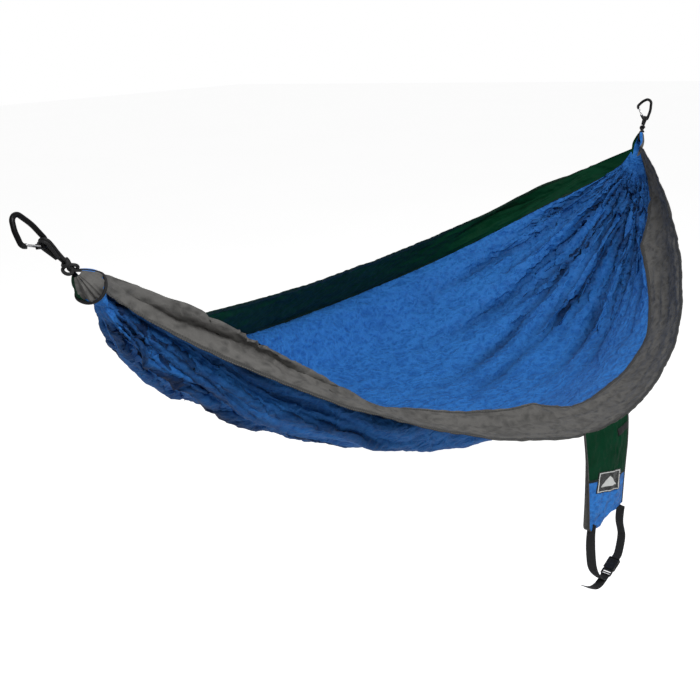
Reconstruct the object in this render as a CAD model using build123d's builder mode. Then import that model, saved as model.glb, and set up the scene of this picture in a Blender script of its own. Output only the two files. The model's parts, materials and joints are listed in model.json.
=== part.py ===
from build123d import *
import os
from math import atan2, cos, degrees, pi, radians, sin, tan

os.makedirs("parts", exist_ok=True)

# A gathered-end camping hammock, hung and empty. Millimetres and degrees.
# The origin is where the foot anchor bears inside the foot carabiner, +X runs to the head end,
# +Z is up and the storage sack hangs on the -Y edge.

# Driving dimensions
span = 2287.0              # between the two gathered ends
cloth_gauge = 2.0          # solid thickness standing for the thin cloth
trim_width = 165.0         # each edge panel, seam to hem
belly_drop = 653.0         # lowest cloth below the line of the gathered ends
gather_radius = 18.0       # ring of cloth where the panels enter the end channels
cord_diameter = 5.5
cord_clearance = 0.5       # cord eye to carabiner rod
rod_diameter = 9.0         # carabiner body
wire_diameter = 2.4        # carabiner gate
wire_clearance = 0.1       # radial, gate wire in its hinge hole
webbing_width = 22.0
webbing_gauge = 1.6
sack_top_width = 186.0
sack_foot_width = 150.0
sack_height = 236.0
sack_depth = 16.0
sack_along = 0.447         # where the sack hangs, as a share of the span from the foot end
sack_turn = 7.0            # the sack follows the hem, which still runs outward there
buckle_length = 34.0       # socket
buckle_width = 28.0
buckle_depth = 9.0
slip = 0.3                 # clearance between parts that slide or hang on each other

# How the two suspension lines rise, and how far along them the knot and the carabiner come
foot_rise = 48.6
head_rise = 58.0
foot_knot_at = 44.0
head_knot_at = 34.0
foot_eye_length = 60.0
head_eye_length = 38.0
foot_roll = 20.0           # turn of the carabiner about its own line
head_roll = -125.0
anchor_at = 65.8           # rod centre at the narrow end to the bearing point in the basket

# The six free lines that run the length of the cloth. Each swells sideways (reach) and down (drop);
# foot and head say how steeply it leaves each end, lean moves its fullest point, and ring is its
# place on the gathered ring, in degrees from +Y.
cloth_lines = {
    "far_hem": dict(reach=410, foot=0.79, head=0.31, lean=0.89,
                    drop=277, drop_foot=0.47, drop_head=0.37, drop_lean=1.04, ring=25),
    "far_seam": dict(reach=517, foot=0.92, head=0.62, lean=0.97,
                     drop=398, drop_foot=0.66, drop_head=0.47, drop_lean=0.92, ring=-5),
    "far_belly": dict(reach=372, foot=0.79, head=0.70, lean=1.0,
                      drop=581, drop_foot=0.70, drop_head=0.62, drop_lean=1.0, ring=-45),
    "bottom": dict(reach=-59, foot=0.77, head=0.90, lean=1.0,
                   drop=belly_drop, drop_foot=0.74, drop_head=0.52, drop_lean=1.0, ring=-90),
    "near_belly": dict(reach=-268, foot=1.09, head=0.94, lean=0.93,
                       drop=576, drop_foot=0.61, drop_head=0.51, drop_lean=1.0, ring=-140),
    "near_hem": dict(reach=-474, foot=1.19, head=0.83, lean=0.82,
                     drop=520, drop_foot=0.58, drop_head=0.97, drop_lean=1.32, ring=120),
}

# The near trim folds over near the foot end and lies open towards the head end: the rise of the
# flap from the hem to the fold, of the wall from the fold to the seam, and the wall's share.
flap_rise = [(0, 60), (0.05, 80), (0.1, 64), (0.15, 46), (0.2, 27), (0.26, 8), (0.42, 0),
             (0.5, -20), (0.6, -32), (0.75, -58), (0.9, -62), (1, -112)]
wall_rise = [(0, -65), (0.05, -78), (0.12, -78), (0.2, -50), (0.26, 20), (0.42, 28), (0.5, 5), (0.6, -12),
             (0.75, -46), (0.9, -54), (1, -92)]
wall_share = [(0, 0.39), (0.1, 0.39), (0.2, 0.2), (0.3, 0.42), (1, 0.42)]
gathered_trim_share = 0.13

stations = [0, 0.012, 0.03, 0.06, 0.1, 0.15, 0.2, 0.26, 0.33, 0.41, 0.5, 0.59, 0.67, 0.75, 0.82,
            0.88, 0.93, 0.965, 0.987, 1]
curve_steps = 3            # straight pieces between two neighbouring lines of the centre panel
channel_reach = 24.0       # end of each channel past its gather point, where the panels start
ring_fade = 30             # how quickly the cloth leaves the tilt of the suspension lines


def along_table(pairs, along):
    """Value of a table of (share of span, value) at one place, straight between its entries."""
    for (start, low), (end, high) in zip(pairs, pairs[1:]):
        if along <= end:
            return low + (high - low) * (along - start) / (end - start)
    return pairs[-1][1]


def swell(along, foot, head, lean):
    """Bulge of a line: 0 at both ends, 1 at its fullest."""
    place = along ** lean
    peak = foot / (foot + head)
    return (place / peak) ** foot * ((1 - place) / (1 - peak)) ** head


def ring_drop(along):
    """How far the ring of cloth hangs below the gather line where it enters the tilted channels."""
    foot_part = tan(radians(foot_rise)) * (1 - along) ** ring_fade
    return channel_reach * (foot_part + tan(radians(head_rise)) * along ** ring_fade)


def line_point(name, along):
    line = cloth_lines[name]
    ring = radians(line["ring"])
    side = line["reach"] * swell(along, line["foot"], line["head"], line["lean"])
    down = line["drop"] * swell(along, line["drop_foot"], line["drop_head"], line["drop_lean"])
    return Vector(gather_radius * cos(ring) + side, gather_radius * sin(ring) - down - ring_drop(along))


def direction(rise):
    return Vector(cos(radians(rise)), sin(radians(rise)))


def cross_section(along):
    """Points of the cloth across one station, far hem to near hem, as (y, z) from the gather line."""
    width = trim_width * min(1, gathered_trim_share + 1.2 * swell(along, 0.3, 0.3, 1))
    share = along_table(wall_share, along)
    hem = line_point("near_hem", along)
    fold = hem + direction(along_table(flap_rise, along)) * width * (1 - share)
    seam = fold + direction(along_table(wall_rise, along)) * width * share
    free = [line_point(name, along) for name in ("far_hem", "far_seam", "far_belly", "bottom", "near_belly")]
    return free + [seam, fold, hem]


def rounded(points, steps):
    """The points joined by a smooth curve through them all, steps straight pieces to each gap."""
    padded = [points[0] * 2 - points[1]] + points + [points[-1] * 2 - points[-2]]
    curve = []
    for before, start, end, after in zip(padded, padded[1:], padded[2:], padded[3:]):
        for step in range(steps):
            t = step / steps
            curve.append((start * 2 + (end - before) * t
                          + (before * 2 - start * 5 + end * 4 - after) * t * t
                          + (start * 3 - before - end * 3 + after) * t ** 3) / 2)
    return curve + [points[-1]]


def cloth_outline(along, first, last):
    """Closed outline of the cloth between two lines at one station, its thickness added below."""
    points = cross_section(along)
    centre = rounded(points[1:6], curve_steps)
    whole = [points[0]] + centre + points[6:]
    marks = [0] + [1 + curve_steps * n for n in range(5)] + [2 + 4 * curve_steps, 3 + 4 * curve_steps]
    low, high = marks[first], marks[last]
    runs = [(after - before).normalized() for before, after in zip(whole, whole[1:])]
    normals = [Vector(-run.Y, run.X) for run in [runs[0]] + runs + [runs[-1]]]
    top, under = [], []
    for n in range(low, high + 1):
        mitre = (normals[n] + normals[n + 1]) / (1 + normals[n].dot(normals[n + 1]))
        top.append(whole[n])
        under.append(whole[n] + mitre * cloth_gauge)
    return [(p.X, p.Y) for p in top + under[::-1]]


def cloth_panel(name, first, last):
    """Lofts one panel of cloth, between two of the lines, over all stations."""
    with BuildPart() as panel:
        for along in stations:
            with BuildSketch(Plane(origin=station_origin(along), x_dir=(0, 1, 0), z_dir=(1, 0, 0))):
                with BuildLine():
                    Polyline(*cloth_outline(along, first, last), close=True)
                make_face()
        loft(ruled=True)
    save(panel.part, name)


def save(solid, name):
    solid.label = name
    export_step(solid, f"parts/{name}.step")


# Where the suspension lines put the two gathered ends, working back from the foot anchor
foot_line = Vector(-cos(radians(foot_rise)), 0, sin(radians(foot_rise)))
head_line = Vector(cos(radians(head_rise)), 0, sin(radians(head_rise)))
foot_rod = foot_line * -anchor_at
foot_gather = foot_rod - foot_line * (foot_knot_at + foot_eye_length)
head_gather = foot_gather + Vector(span, 0, 0)
head_rod = head_gather + head_line * (head_knot_at + head_eye_length)


def station_origin(along):
    """The gather line at one station: the panels run between the two channels' inner faces."""
    return foot_gather + Vector(channel_reach + (span - 2 * channel_reach) * along, 0, 0)


for name, first, last in (("far_trim_panel", 0, 1), ("centre_panel", 1, 5), ("near_trim_panel", 5, 7)):
    cloth_panel(name, first, last)


# End channels: the cloth's ends, sewn into a sleeve and gathered round the suspension cord
channel_throat = gather_radius - cord_diameter / 2 - slip
sling_half = gather_radius                      # cord centre to the line, beside the channel
sling_back = 6.0                                # how far behind the gather point the cord passes
knot_half = 12.0
knot_lobes = ((11.0, -2.0), (9.0, 6.0))        # radius and place along the line
strand_gap = cord_diameter + slip               # between the two strands where they meet a knot


def line_plane(origin, line, across):
    """Plane whose Y runs up a suspension line and whose X is across it."""
    return Plane(origin=origin, x_dir=across, z_dir=across.cross(line))


def make_tube(plane, points, radii, diameter):
    """Round cord along straight runs joined by tangent arcs."""
    with BuildPart() as tube:
        with BuildLine(plane):
            route = FilletPolyline(*points, radius=radii)
        with BuildSketch(Plane(origin=route @ 0, z_dir=route % 0)):
            Circle(diameter / 2)
        sweep(path=route)
    ratio = tube.part.volume / (route.length * pi * diameter ** 2 / 4)
    print("tube", diameter, "long", round(route.length, 1), "radii", radii, "volume ratio", round(ratio, 3))
    return tube.part


def make_end(end, gather, line, knot_at, inward):
    """Channel and gather cord of one end. inward is +1 where the cloth lies on +X."""
    upright = Vector(line.Z * inward, 0, -line.X * inward)
    side = line_plane(gather, line, upright)
    sling_points = [(strand_gap / 2, knot_at - knot_half), (sling_half, knot_at / 4),
                    (sling_half, -sling_back), (-sling_half, -sling_back),
                    (-sling_half, knot_at / 4), (-strand_gap / 2, knot_at - knot_half)]
    sling_radii = [12, 8.5, 8.5, 12]
    sling = make_tube(side, sling_points, sling_radii, cord_diameter)
    save(sling, f"{end}_gather_cord")

    tunnel = make_tube(side, sling_points, sling_radii, cord_diameter + 2 * slip)
    with BuildPart() as channel:
        with BuildSketch(side):
            with BuildLine():
                bulge = Spline((0, -72), (gather_radius + 9, -50), (gather_radius + 8, -10),
                               (channel_throat, knot_at / 8), (channel_throat - 2, knot_at / 3),
                               (0, knot_at / 2))
                Line(bulge @ 1, bulge @ 0)
            make_face()
        revolve(axis=Axis(gather, line))
        cut_off = Plane(origin=gather + Vector(channel_reach * inward, 0, 0), z_dir=(inward, 0, 0))
        split(bisect_by=cut_off, keep=Keep.BOTTOM)
        add(tunnel, mode=Mode.SUBTRACT)
    save(channel.part, f"{end}_end_channel")

    return sling


def make_eye(end, rod, line, across, eye_length):
    """Cord eye from the knot round the carabiner's narrow end."""
    loop = rod_diameter / 2 + cord_diameter / 2 + cord_clearance
    start = -(eye_length - knot_half + 1)
    points = [(strand_gap / 2, start), (loop, -loop), (loop, loop), (-loop, loop), (-loop, -loop),
              (-strand_gap / 2, start)]
    face = across.cross(line)
    plane = line_plane(rod, line, face)
    eye = make_tube(plane, points, [18, loop - 0.05, loop - 0.05, 18], cord_diameter)
    save(eye, f"{end}_cord_eye")
    return eye


def make_knot(end, gather, line, knot_at, cords):
    """Two-lobed knot where the gather cord meets the eye."""
    with BuildPart() as knot:
        for lobe_radius, lobe_at in knot_lobes:
            with Locations(gather + line * (knot_at + lobe_at)):
                Sphere(lobe_radius)
        for cord in cords:
            add(cord, mode=Mode.SUBTRACT)
    save(knot.part, f"{end}_cord_knot")


# Carabiner: bent rod with three rounded corners, open on one side, closed by a sprung wire gate
nose_end = Vector(-28.7, 30.8)
nose_corner = Vector(-34.5, 38.5)
foot_corner = Vector(6.7, -11.5)
hinge_end = Vector(-15.5, 12.9)
rod_points = [(nose_end.X, nose_end.Y), (nose_corner.X, nose_corner.Y), (-22, 60), (4, 84), (11, 37),
              (foot_corner.X, foot_corner.Y), (hinge_end.X, hinge_end.Y)]
rod_radii = [9, 40, 12, 80, 8.5]
boss_half = 2.5            # the rod's ends are flattened to this half thickness for the wire
boss_reach = 12.0          # how far from each end the flats run
boss_lead = 3.0            # the hinge end's flats are centred this far past the rod's end
hinge_inset = 5.0          # hinge hole from the rod's end
wire_half = boss_half + wire_diameter / 2 + slip
slot_depth = 4.2           # nose slot that the wire's bend closes into
slot_set_in = 1.6          # closed wire's bend from the rod's centre line
nose_run = (nose_corner - nose_end).normalized()
nose_inward = Vector(nose_run.Y, -nose_run.X)
hinge_run = (foot_corner - hinge_end).normalized()


def make_carabiner(end, rod, line, across):
    body_plane = line_plane(rod, line, across)
    face = body_plane.z_dir
    with BuildPart() as body:
        with BuildLine(body_plane):
            route = FilletPolyline(*rod_points, radius=rod_radii)
        with BuildSketch(Plane(origin=route @ 0, z_dir=route % 0)):
            Circle(rod_diameter / 2)
        sweep(path=route)
        hinge_at = hinge_end + hinge_run * hinge_inset
        boss_at = hinge_end - hinge_run * boss_lead
        for side in (1, -1):
            with BuildSketch(body_plane.offset(side * (boss_half + rod_diameter / 2))):
                with Locations((boss_at.X, boss_at.Y), (nose_end.X, nose_end.Y)):
                    Circle(boss_reach)
            extrude(amount=rod_diameter / 2, both=True, mode=Mode.SUBTRACT)
        with BuildSketch(body_plane):
            with Locations((hinge_at.X, hinge_at.Y)):
                Circle(wire_diameter / 2 + wire_clearance)
        extrude(amount=rod_diameter, both=True, mode=Mode.SUBTRACT)
        slot_at = nose_end + nose_run * slot_depth / 2 + nose_inward * rod_diameter / 2
        slot_turn = degrees(atan2(nose_inward.Y, nose_inward.X))
        with BuildSketch(body_plane):
            with Locations((slot_at.X, slot_at.Y)):
                Rectangle(rod_diameter + 2 * slip + 1.5, wire_diameter + 2 * slip, rotation=slot_turn)
        extrude(amount=rod_diameter, both=True, mode=Mode.SUBTRACT)
    save(body.part, f"{end}_carabiner")

    gate_line = nose_end + nose_run * slot_depth / 2 + nose_inward * slot_set_in - hinge_at
    gate_axis = body_plane.x_dir * gate_line.X + body_plane.y_dir * gate_line.Y
    reach = gate_axis.length
    hinge = body_plane.origin + body_plane.x_dir * hinge_at.X + body_plane.y_dir * hinge_at.Y
    gate_plane = Plane(origin=hinge, x_dir=face, z_dir=face.cross(gate_axis.normalized()))
    bend = wire_diameter * 0.7
    points = [(0.5, 0), (wire_half, 0), (wire_half, reach), (-wire_half, reach), (-wire_half, 0),
              (-0.5, 0)]
    gate = make_tube(gate_plane, points, [1.3, bend, bend, 1.3], wire_diameter)
    save(gate, f"{end}_wire_gate")
    print(end, "gate hinge", hinge, "axis", face)


ends = (("foot", foot_gather, foot_rod, foot_line, foot_knot_at, foot_eye_length, foot_roll, 1),
        ("head", head_gather, head_rod, head_line, head_knot_at, head_eye_length, head_roll, -1))
for end, gather, rod, line, knot_at, eye_length, roll, inward in ends:
    upright = Vector(line.Z * inward, 0, -line.X * inward)
    across = upright * cos(radians(roll)) + Vector(0, 1, 0) * sin(radians(roll))
    sling = make_end(end, gather, line, knot_at, inward)
    eye = make_eye(end, rod, line, across, eye_length)
    make_knot(end, gather, line, knot_at, (sling, eye))
    make_carabiner(end, rod, line, across)
    print(end, "gather", gather, "rod", rod, "across", across)


# Storage sack, hung from the near hem, in its own plane: X along the hem, Y up, Z away from the cloth
sack_tube = sack_depth / 2 + cloth_gauge        # the top edge is a round sleeve about the swing axis
hem_centre = line_point("near_hem", sack_along)
sack_x = Vector(cos(radians(sack_turn)), -sin(radians(sack_turn)), 0)
hem_edges = [line_point("near_hem", sack_along + side * sack_top_width / 2 / span) for side in (-1, 0, 1)]
sack_top = min(point.Y for point in hem_edges) - cloth_gauge - slip - sack_tube
sack_origin = foot_gather + Vector(span * sack_along, hem_centre.X, sack_top)
sack = Plane(origin=sack_origin, x_dir=sack_x, z_dir=sack_x.cross(Vector(0, 0, 1)))
shoulder = 10.0
upper_left, upper_right = 104.0, 130.0   # green part of the front, at each edge


def sack_half(down):
    """Half width of the sack at a distance below its swing axis."""
    return (sack_top_width + (sack_foot_width - sack_top_width) * down / sack_height) / 2


def sack_outline(top_left, top_right, foot_left, foot_right, inset):
    """Corners of a piece of the sack, each given by its distance below the swing axis."""
    return [(-sack_half(top_left) + inset, -top_left), (sack_half(top_right) - inset, -top_right),
            (sack_half(foot_right) - inset, -foot_right), (-sack_half(foot_left) + inset, -foot_left)]


with BuildPart() as sack_back:
    with BuildSketch(sack.offset(-sack_depth / 2)):
        with BuildLine():
            Polyline(*sack_outline(0, 0, sack_height, sack_height, 0), close=True)
        make_face()
        fillet(vertices().group_by(Axis.Z)[0], shoulder)
    extrude(amount=sack_depth)
    with BuildSketch(Plane(origin=sack_origin - sack_x * sack_half(0), z_dir=sack_x)):
        Circle(sack_depth / 2)
    extrude(amount=2 * sack_half(0))
save(sack_back.part, "sack_back")

with BuildPart() as sack_front_upper:
    with BuildSketch(sack.offset(sack_depth / 2)):
        with BuildLine():
            Polyline(*sack_outline(2, 2, upper_left, upper_right, 1), close=True)
        make_face()
    extrude(amount=cloth_gauge)
save(sack_front_upper.part, "sack_front_upper")

with BuildPart() as sack_front_lower:
    with BuildSketch(sack.offset(sack_depth / 2)):
        with BuildLine():
            Polyline(*sack_outline(upper_left, upper_right, sack_height, sack_height, 1), close=True)
        make_face()
        fillet(vertices().group_by(Axis.Z)[0], shoulder)
    extrude(amount=cloth_gauge)
save(sack_front_lower.part, "sack_front_lower")

patch_width, patch_height, patch_gauge = 98.0, 50.0, 1.0
patch_at = (9, -(upper_left + upper_right) / 2 - 11)
with BuildPart() as sack_patch:
    with BuildSketch(sack.offset(sack_depth / 2 + cloth_gauge)):
        with Locations(patch_at):
            RectangleRounded(patch_width, patch_height, 2)
    extrude(amount=patch_gauge)
save(sack_patch.part, "sack_patch")

tag_width, tag_height = 50.0, 16.0
with BuildPart() as sack_tag:
    with BuildSketch(sack.offset(sack_depth / 2 + cloth_gauge)):
        with Locations((sack_half(0) - tag_width / 2 - 6, -tag_height / 2 - 4)):
            Rectangle(tag_width, tag_height)
    extrude(amount=patch_gauge)
save(sack_tag.part, "sack_tag")


# Compression strap: two lengths of webbing from the sack's lower edge, joined by the buckle.
# It hangs in the sack's plane, its width across that plane.
def sack_point(x, y):
    return sack.origin + sack.x_dir * x + sack.y_dir * y


def make_web(name, points, radii, gauge):
    """Flat webbing whose edge follows a path in the sack's plane."""
    with BuildPart() as web:
        with BuildSketch(sack):
            with BuildLine() as path:
                FilletPolyline(*points, radius=radii)
            trace(line_width=gauge)
        extrude(amount=webbing_width / 2, both=True)
    save(web.part, name)


strap_start = -sack_height - slip              # the adjustable web slides with the plug
buckle_rise = 28.0
plug_at = Vector(7, -sack_height - 146)
buckle_run = direction(buckle_rise)
buckle_up = direction(buckle_rise + 90)
plug_base = 17.0           # plug's body outside the socket
socket_at = plug_at + buckle_run * (plug_base + slip)
socket_end = socket_at + buckle_run * buckle_length
wall = 1.8                 # socket's walls

web_left = webbing_gauge - sack_half(sack_height) + shoulder
web_right = sack_half(sack_height) - shoulder - webbing_gauge
left_lead = plug_at - buckle_run * 20
right_lead = socket_end + buckle_run * 14
make_web("adjustable_web",
         [(web_left, strap_start), (web_left + 1, strap_start - 62), (web_left + 10, strap_start - 108),
          (left_lead.X, left_lead.Y), (plug_at.X, plug_at.Y)],
         [60, 45, 14], webbing_gauge)
make_web("fixed_web",
         [(web_right, -sack_height), (web_right, -sack_height - 24), (web_right + 17, -sack_height - 70),
          (right_lead.X, right_lead.Y), (socket_end.X, socket_end.Y)],
         [30, 16, 9], webbing_gauge)
tail_start = plug_at - buckle_up * webbing_gauge
tail_lead = tail_start - buckle_run * 14
make_web("strap_tail",
         [(tail_start.X, tail_start.Y), (tail_lead.X, tail_lead.Y), (tail_lead.X - 44, tail_lead.Y - 4),
          (tail_lead.X - 78, tail_lead.Y + 16)],
         [16, 60], webbing_gauge)

# Side-release buckle, its axis along X of its own plane and its width across the sack's plane
buckle_x = sack.x_dir * buckle_run.X + sack.y_dir * buckle_run.Y
buckle = Plane(origin=sack_point(socket_at.X, socket_at.Y), x_dir=buckle_x, z_dir=buckle_x.cross(sack.z_dir))
bore_width = buckle_width - 2 * wall - 2
bore_depth = buckle_depth - 2 * wall
tongue_depth = bore_depth - 2 * slip
engaged = 22.0             # how far the plug's tongue and prongs reach in
prong_width = 3.6
prong_centre = bore_width / 2 - slip - prong_width / 2
window_length = 12.0
web_slot = webbing_gauge * 2 + 2

with BuildPart() as buckle_socket:
    with BuildSketch(buckle):
        with Locations((buckle_length / 2, 0)):
            RectangleRounded(buckle_length, buckle_width, 3)
    extrude(amount=buckle_depth / 2, both=True)
    with BuildSketch(buckle):
        with Locations((engaged / 2, 0)):
            Rectangle(engaged + 2, bore_width)
    extrude(amount=bore_depth / 2, both=True, mode=Mode.SUBTRACT)
    with BuildSketch(buckle):
        with Locations((engaged - window_length / 2 - 1, 0)):
            Rectangle(window_length, buckle_width + 2)
    extrude(amount=bore_depth / 2 - 0.2, both=True, mode=Mode.SUBTRACT)
    with BuildSketch(buckle):
        with Locations((buckle_length - 4.0, 0)):
            Rectangle(web_slot, webbing_width + 2 * slip)
    extrude(amount=buckle_depth, both=True, mode=Mode.SUBTRACT)
save(buckle_socket.part, "buckle_socket")

with BuildPart() as buckle_plug:
    with BuildSketch(buckle):
        with Locations((-plug_base / 2 - slip, 0)):
            RectangleRounded(plug_base, buckle_width - 2, 3)
    extrude(amount=tongue_depth / 2 + 0.6, both=True)
    with BuildSketch(buckle):
        with Locations((-plug_base + 4.0, 0)):
            Rectangle(web_slot, webbing_width + 2 * slip)
        with Locations((-plug_base + 10.0, 0)):
            Rectangle(web_slot, webbing_width + 2 * slip)
    extrude(amount=buckle_depth, both=True, mode=Mode.SUBTRACT)
    with BuildSketch(buckle):
        with Locations((engaged / 2 - 1.5, 0)):
            Rectangle(engaged - 1, 5)
    extrude(amount=tongue_depth / 2, both=True)
save(buckle_plug.part, "buckle_plug")

prong_start = slip
for name, side in (("buckle_prong_outer", 1), ("buckle_prong_inner", -1)):
    with BuildPart() as prong:
        with BuildSketch(buckle):
            with Locations(((prong_start + engaged - 1) / 2, side * prong_centre)):
                RectangleRounded(engaged - 1 - prong_start, prong_width, 1.2)
        extrude(amount=tongue_depth / 2, both=True)
    save(prong.part, name)

print("sack origin", sack.origin, "x", sack.x_dir, "out", sack.z_dir)
print("buckle origin", buckle.origin, "run", buckle.x_dir, "face", buckle.z_dir, "prong", prong_centre)
print("head anchor", head_rod + head_line * anchor_at)
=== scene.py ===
import bpy
import json
import math
import numpy as np
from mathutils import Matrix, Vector, noise


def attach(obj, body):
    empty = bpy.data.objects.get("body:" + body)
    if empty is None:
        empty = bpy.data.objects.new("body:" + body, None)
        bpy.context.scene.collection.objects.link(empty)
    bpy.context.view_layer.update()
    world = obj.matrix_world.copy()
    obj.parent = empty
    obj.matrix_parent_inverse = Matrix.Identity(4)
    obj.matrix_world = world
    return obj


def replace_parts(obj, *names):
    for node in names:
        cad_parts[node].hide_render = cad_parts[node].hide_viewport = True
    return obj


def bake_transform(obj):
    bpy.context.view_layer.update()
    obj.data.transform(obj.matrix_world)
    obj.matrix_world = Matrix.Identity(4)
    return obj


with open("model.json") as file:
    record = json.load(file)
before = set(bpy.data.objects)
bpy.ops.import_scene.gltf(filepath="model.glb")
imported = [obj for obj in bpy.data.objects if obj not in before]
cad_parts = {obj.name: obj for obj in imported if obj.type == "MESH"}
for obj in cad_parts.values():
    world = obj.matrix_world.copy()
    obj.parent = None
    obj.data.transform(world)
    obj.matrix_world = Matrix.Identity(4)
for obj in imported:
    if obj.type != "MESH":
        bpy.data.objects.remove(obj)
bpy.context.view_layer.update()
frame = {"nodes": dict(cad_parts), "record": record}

scene = bpy.context.scene
record = frame["record"]
joints = {j["name"]: j for j in record["behaviour"]["joints"]}
mountAt = {m["name"]: Vector(m["pos_m"]) for m in record["mounts"]}

# shared node groups


def newGroup(name, inputs, outputs):
    group = bpy.data.node_groups.new(name, "ShaderNodeTree")
    for label, kind, value in inputs:
        sock = group.interface.new_socket(label, in_out="INPUT", socket_type=kind)
        sock.default_value = value
    for label, kind in outputs:
        group.interface.new_socket(label, in_out="OUTPUT", socket_type=kind)
    start = group.nodes.new("NodeGroupInput")
    end = group.nodes.new("NodeGroupOutput")
    return group, start, end


def feed(tree, node, inputs):
    for key, value in inputs.items():
        if isinstance(value, bpy.types.NodeSocket):
            tree.links.new(value, node.inputs[key])
        else:
            node.inputs[key].default_value = value
    return node


def addNode(tree, kind, inputs=None, **settings):
    node = tree.nodes.new(kind)
    for key, value in settings.items():
        setattr(node, key, value)
    return feed(tree, node, inputs or {})


def calc(tree, operation, a, b=0.0, clamp=False):
    return addNode(tree, "ShaderNodeMath", {0: a, 1: b}, operation=operation, use_clamp=clamp).outputs[0]


def mixColour(tree, factor, a, b):
    # a Mix node's colour sockets are 6 and 7 in, 2 out
    return addNode(tree, "ShaderNodeMix", {0: factor, 6: a, 7: b}, data_type="RGBA").outputs[2]


def crinkleGroup():
    group, start, end = newGroup("crinkledCloth",
                                 [("Scale", "NodeSocketFloat", 80.0), ("Sharp", "NodeSocketFloat", 0.8)],
                                 [("Height", "NodeSocketFloat"), ("crestHighlight", "NodeSocketFloat")])
    coords = addNode(group, "ShaderNodeTexCoord")
    # crushed cells run longer along the bed than across it
    drawn = addNode(group, "ShaderNodeVectorMath", {0: coords.outputs["Object"], 1: (0.5, 1.0, 1.0)},
                    operation="MULTIPLY")
    warp = addNode(group, "ShaderNodeTexNoise",
                   {"Vector": coords.outputs["Object"], "Scale": 22.0, "Detail": 3.0})
    shifted = addNode(group, "ShaderNodeVectorMath", {0: warp.outputs["Color"], 1: (0.05, 0.05, 0.05)},
                      operation="MULTIPLY")
    moved = addNode(group, "ShaderNodeVectorMath", {0: drawn.outputs[0], 1: shifted.outputs[0]},
                    operation="ADD")
    cells = addNode(group, "ShaderNodeTexVoronoi",
                    {"Vector": moved.outputs[0], "Scale": start.outputs["Scale"]},
                    feature="F1")
    wide = addNode(group, "ShaderNodeTexVoronoi", {"Vector": moved.outputs[0],
                   "Scale": calc(group, "MULTIPLY", start.outputs["Scale"], 0.38)}, feature="F1")
    soft = addNode(group, "ShaderNodeTexNoise", {"Vector": drawn.outputs[0],
                   "Scale": calc(group, "MULTIPLY", start.outputs["Scale"], 1.1), "Detail": 4.0,
                   "Roughness": 0.6})
    sharp = calc(group, "MULTIPLY", cells.outputs["Distance"], start.outputs["Sharp"])
    broad = calc(group, "MULTIPLY", wide.outputs["Distance"],
                 calc(group, "MULTIPLY", start.outputs["Sharp"], 1.5))
    total = calc(group, "ADD", calc(group, "ADD", sharp, broad),
                 calc(group, "MULTIPLY", soft.outputs["Fac"], 0.8))
    group.links.new(total, end.inputs["Height"])
    # painted highlight: the raised crinkle crests are marked for a lighter colour, standing in for light
    # catching them
    crestLight = calc(group, "MULTIPLY", cells.outputs["Distance"],
                 calc(group, "ADD", wide.outputs["Distance"], 0.5))
    group.links.new(calc(group, "MULTIPLY", crestLight, 1.5, clamp=True), end.inputs["crestHighlight"])
    return group


def weaveGroup():
    group, start, end = newGroup("plainWeave",
                                 [("Vector", "NodeSocketVector", (0, 0, 0)),
                                  ("Threads", "NodeSocketFloat", 900.0)],
                                 [("Height", "NodeSocketFloat")])
    parts = addNode(group, "ShaderNodeSeparateXYZ", {0: start.outputs["Vector"]})
    waves = []
    for axis in ("X", "Y"):
        turned = calc(group, "MULTIPLY", parts.outputs[axis], start.outputs["Threads"])
        waves.append(calc(group, "SINE", turned))
    group.links.new(calc(group, "MULTIPLY", waves[0], waves[1]), end.inputs["Height"])
    return group


def stitchGroup():
    group, start, end = newGroup("threadDashes",
                                 [("Vector", "NodeSocketVector", (0, 0, 0)),
                                  ("Row", "NodeSocketFloat", 0.004),
                                 ("Pitch", "NodeSocketFloat", 0.005), ("Thick", "NodeSocketFloat", 0.0007)],
                                 [("Thread", "NodeSocketFloat"), ("needleHoleShade", "NodeSocketFloat")])
    parts = addNode(group, "ShaderNodeSeparateXYZ", {0: start.outputs["Vector"]})
    across = calc(group, "ABSOLUTE",
                  calc(group, "SUBTRACT", calc(group, "ABSOLUTE", parts.outputs["Y"]),
                       start.outputs["Row"]))
    inRow = calc(group, "LESS_THAN", across, start.outputs["Thick"])
    place = calc(group, "FRACT", calc(group, "DIVIDE", parts.outputs["X"], start.outputs["Pitch"]))
    dash = calc(group, "LESS_THAN", place, 0.72)
    # mask of the needle holes between dashes, used for painted shade
    wide = calc(group, "LESS_THAN", across, calc(group, "MULTIPLY", start.outputs["Thick"], 2.0))
    group.links.new(calc(group, "MULTIPLY", inRow, dash), end.inputs["Thread"])
    group.links.new(calc(group, "MULTIPLY", wide, calc(group, "SUBTRACT", 1.0, dash)), end.inputs["needleHoleShade"])
    return group


def wearGroup():
    group, start, end = newGroup("edgeWear",
                                 [("Amount", "NodeSocketFloat", 0.5), ("Scale", "NodeSocketFloat", 250.0)],
                                 [("Mask", "NodeSocketFloat"), ("Mottle", "NodeSocketFloat")])
    shape = addNode(group, "ShaderNodeNewGeometry")
    coords = addNode(group, "ShaderNodeTexCoord")
    speck = addNode(group, "ShaderNodeTexNoise",
                    {"Vector": coords.outputs["Object"], "Scale": start.outputs["Scale"], "Detail": 5.0})
    edge = calc(group, "MULTIPLY", calc(group, "SUBTRACT", shape.outputs["Pointiness"], 0.52), 9.0,
                clamp=True)
    spots = calc(group, "MULTIPLY", calc(group, "SUBTRACT", speck.outputs["Fac"], 0.5), 5.0, clamp=True)
    mask = calc(group, "MULTIPLY", calc(group, "MULTIPLY", edge, spots), start.outputs["Amount"],
                clamp=True)
    group.links.new(mask, end.inputs["Mask"])
    group.links.new(speck.outputs["Fac"], end.inputs["Mottle"])
    return group


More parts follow.
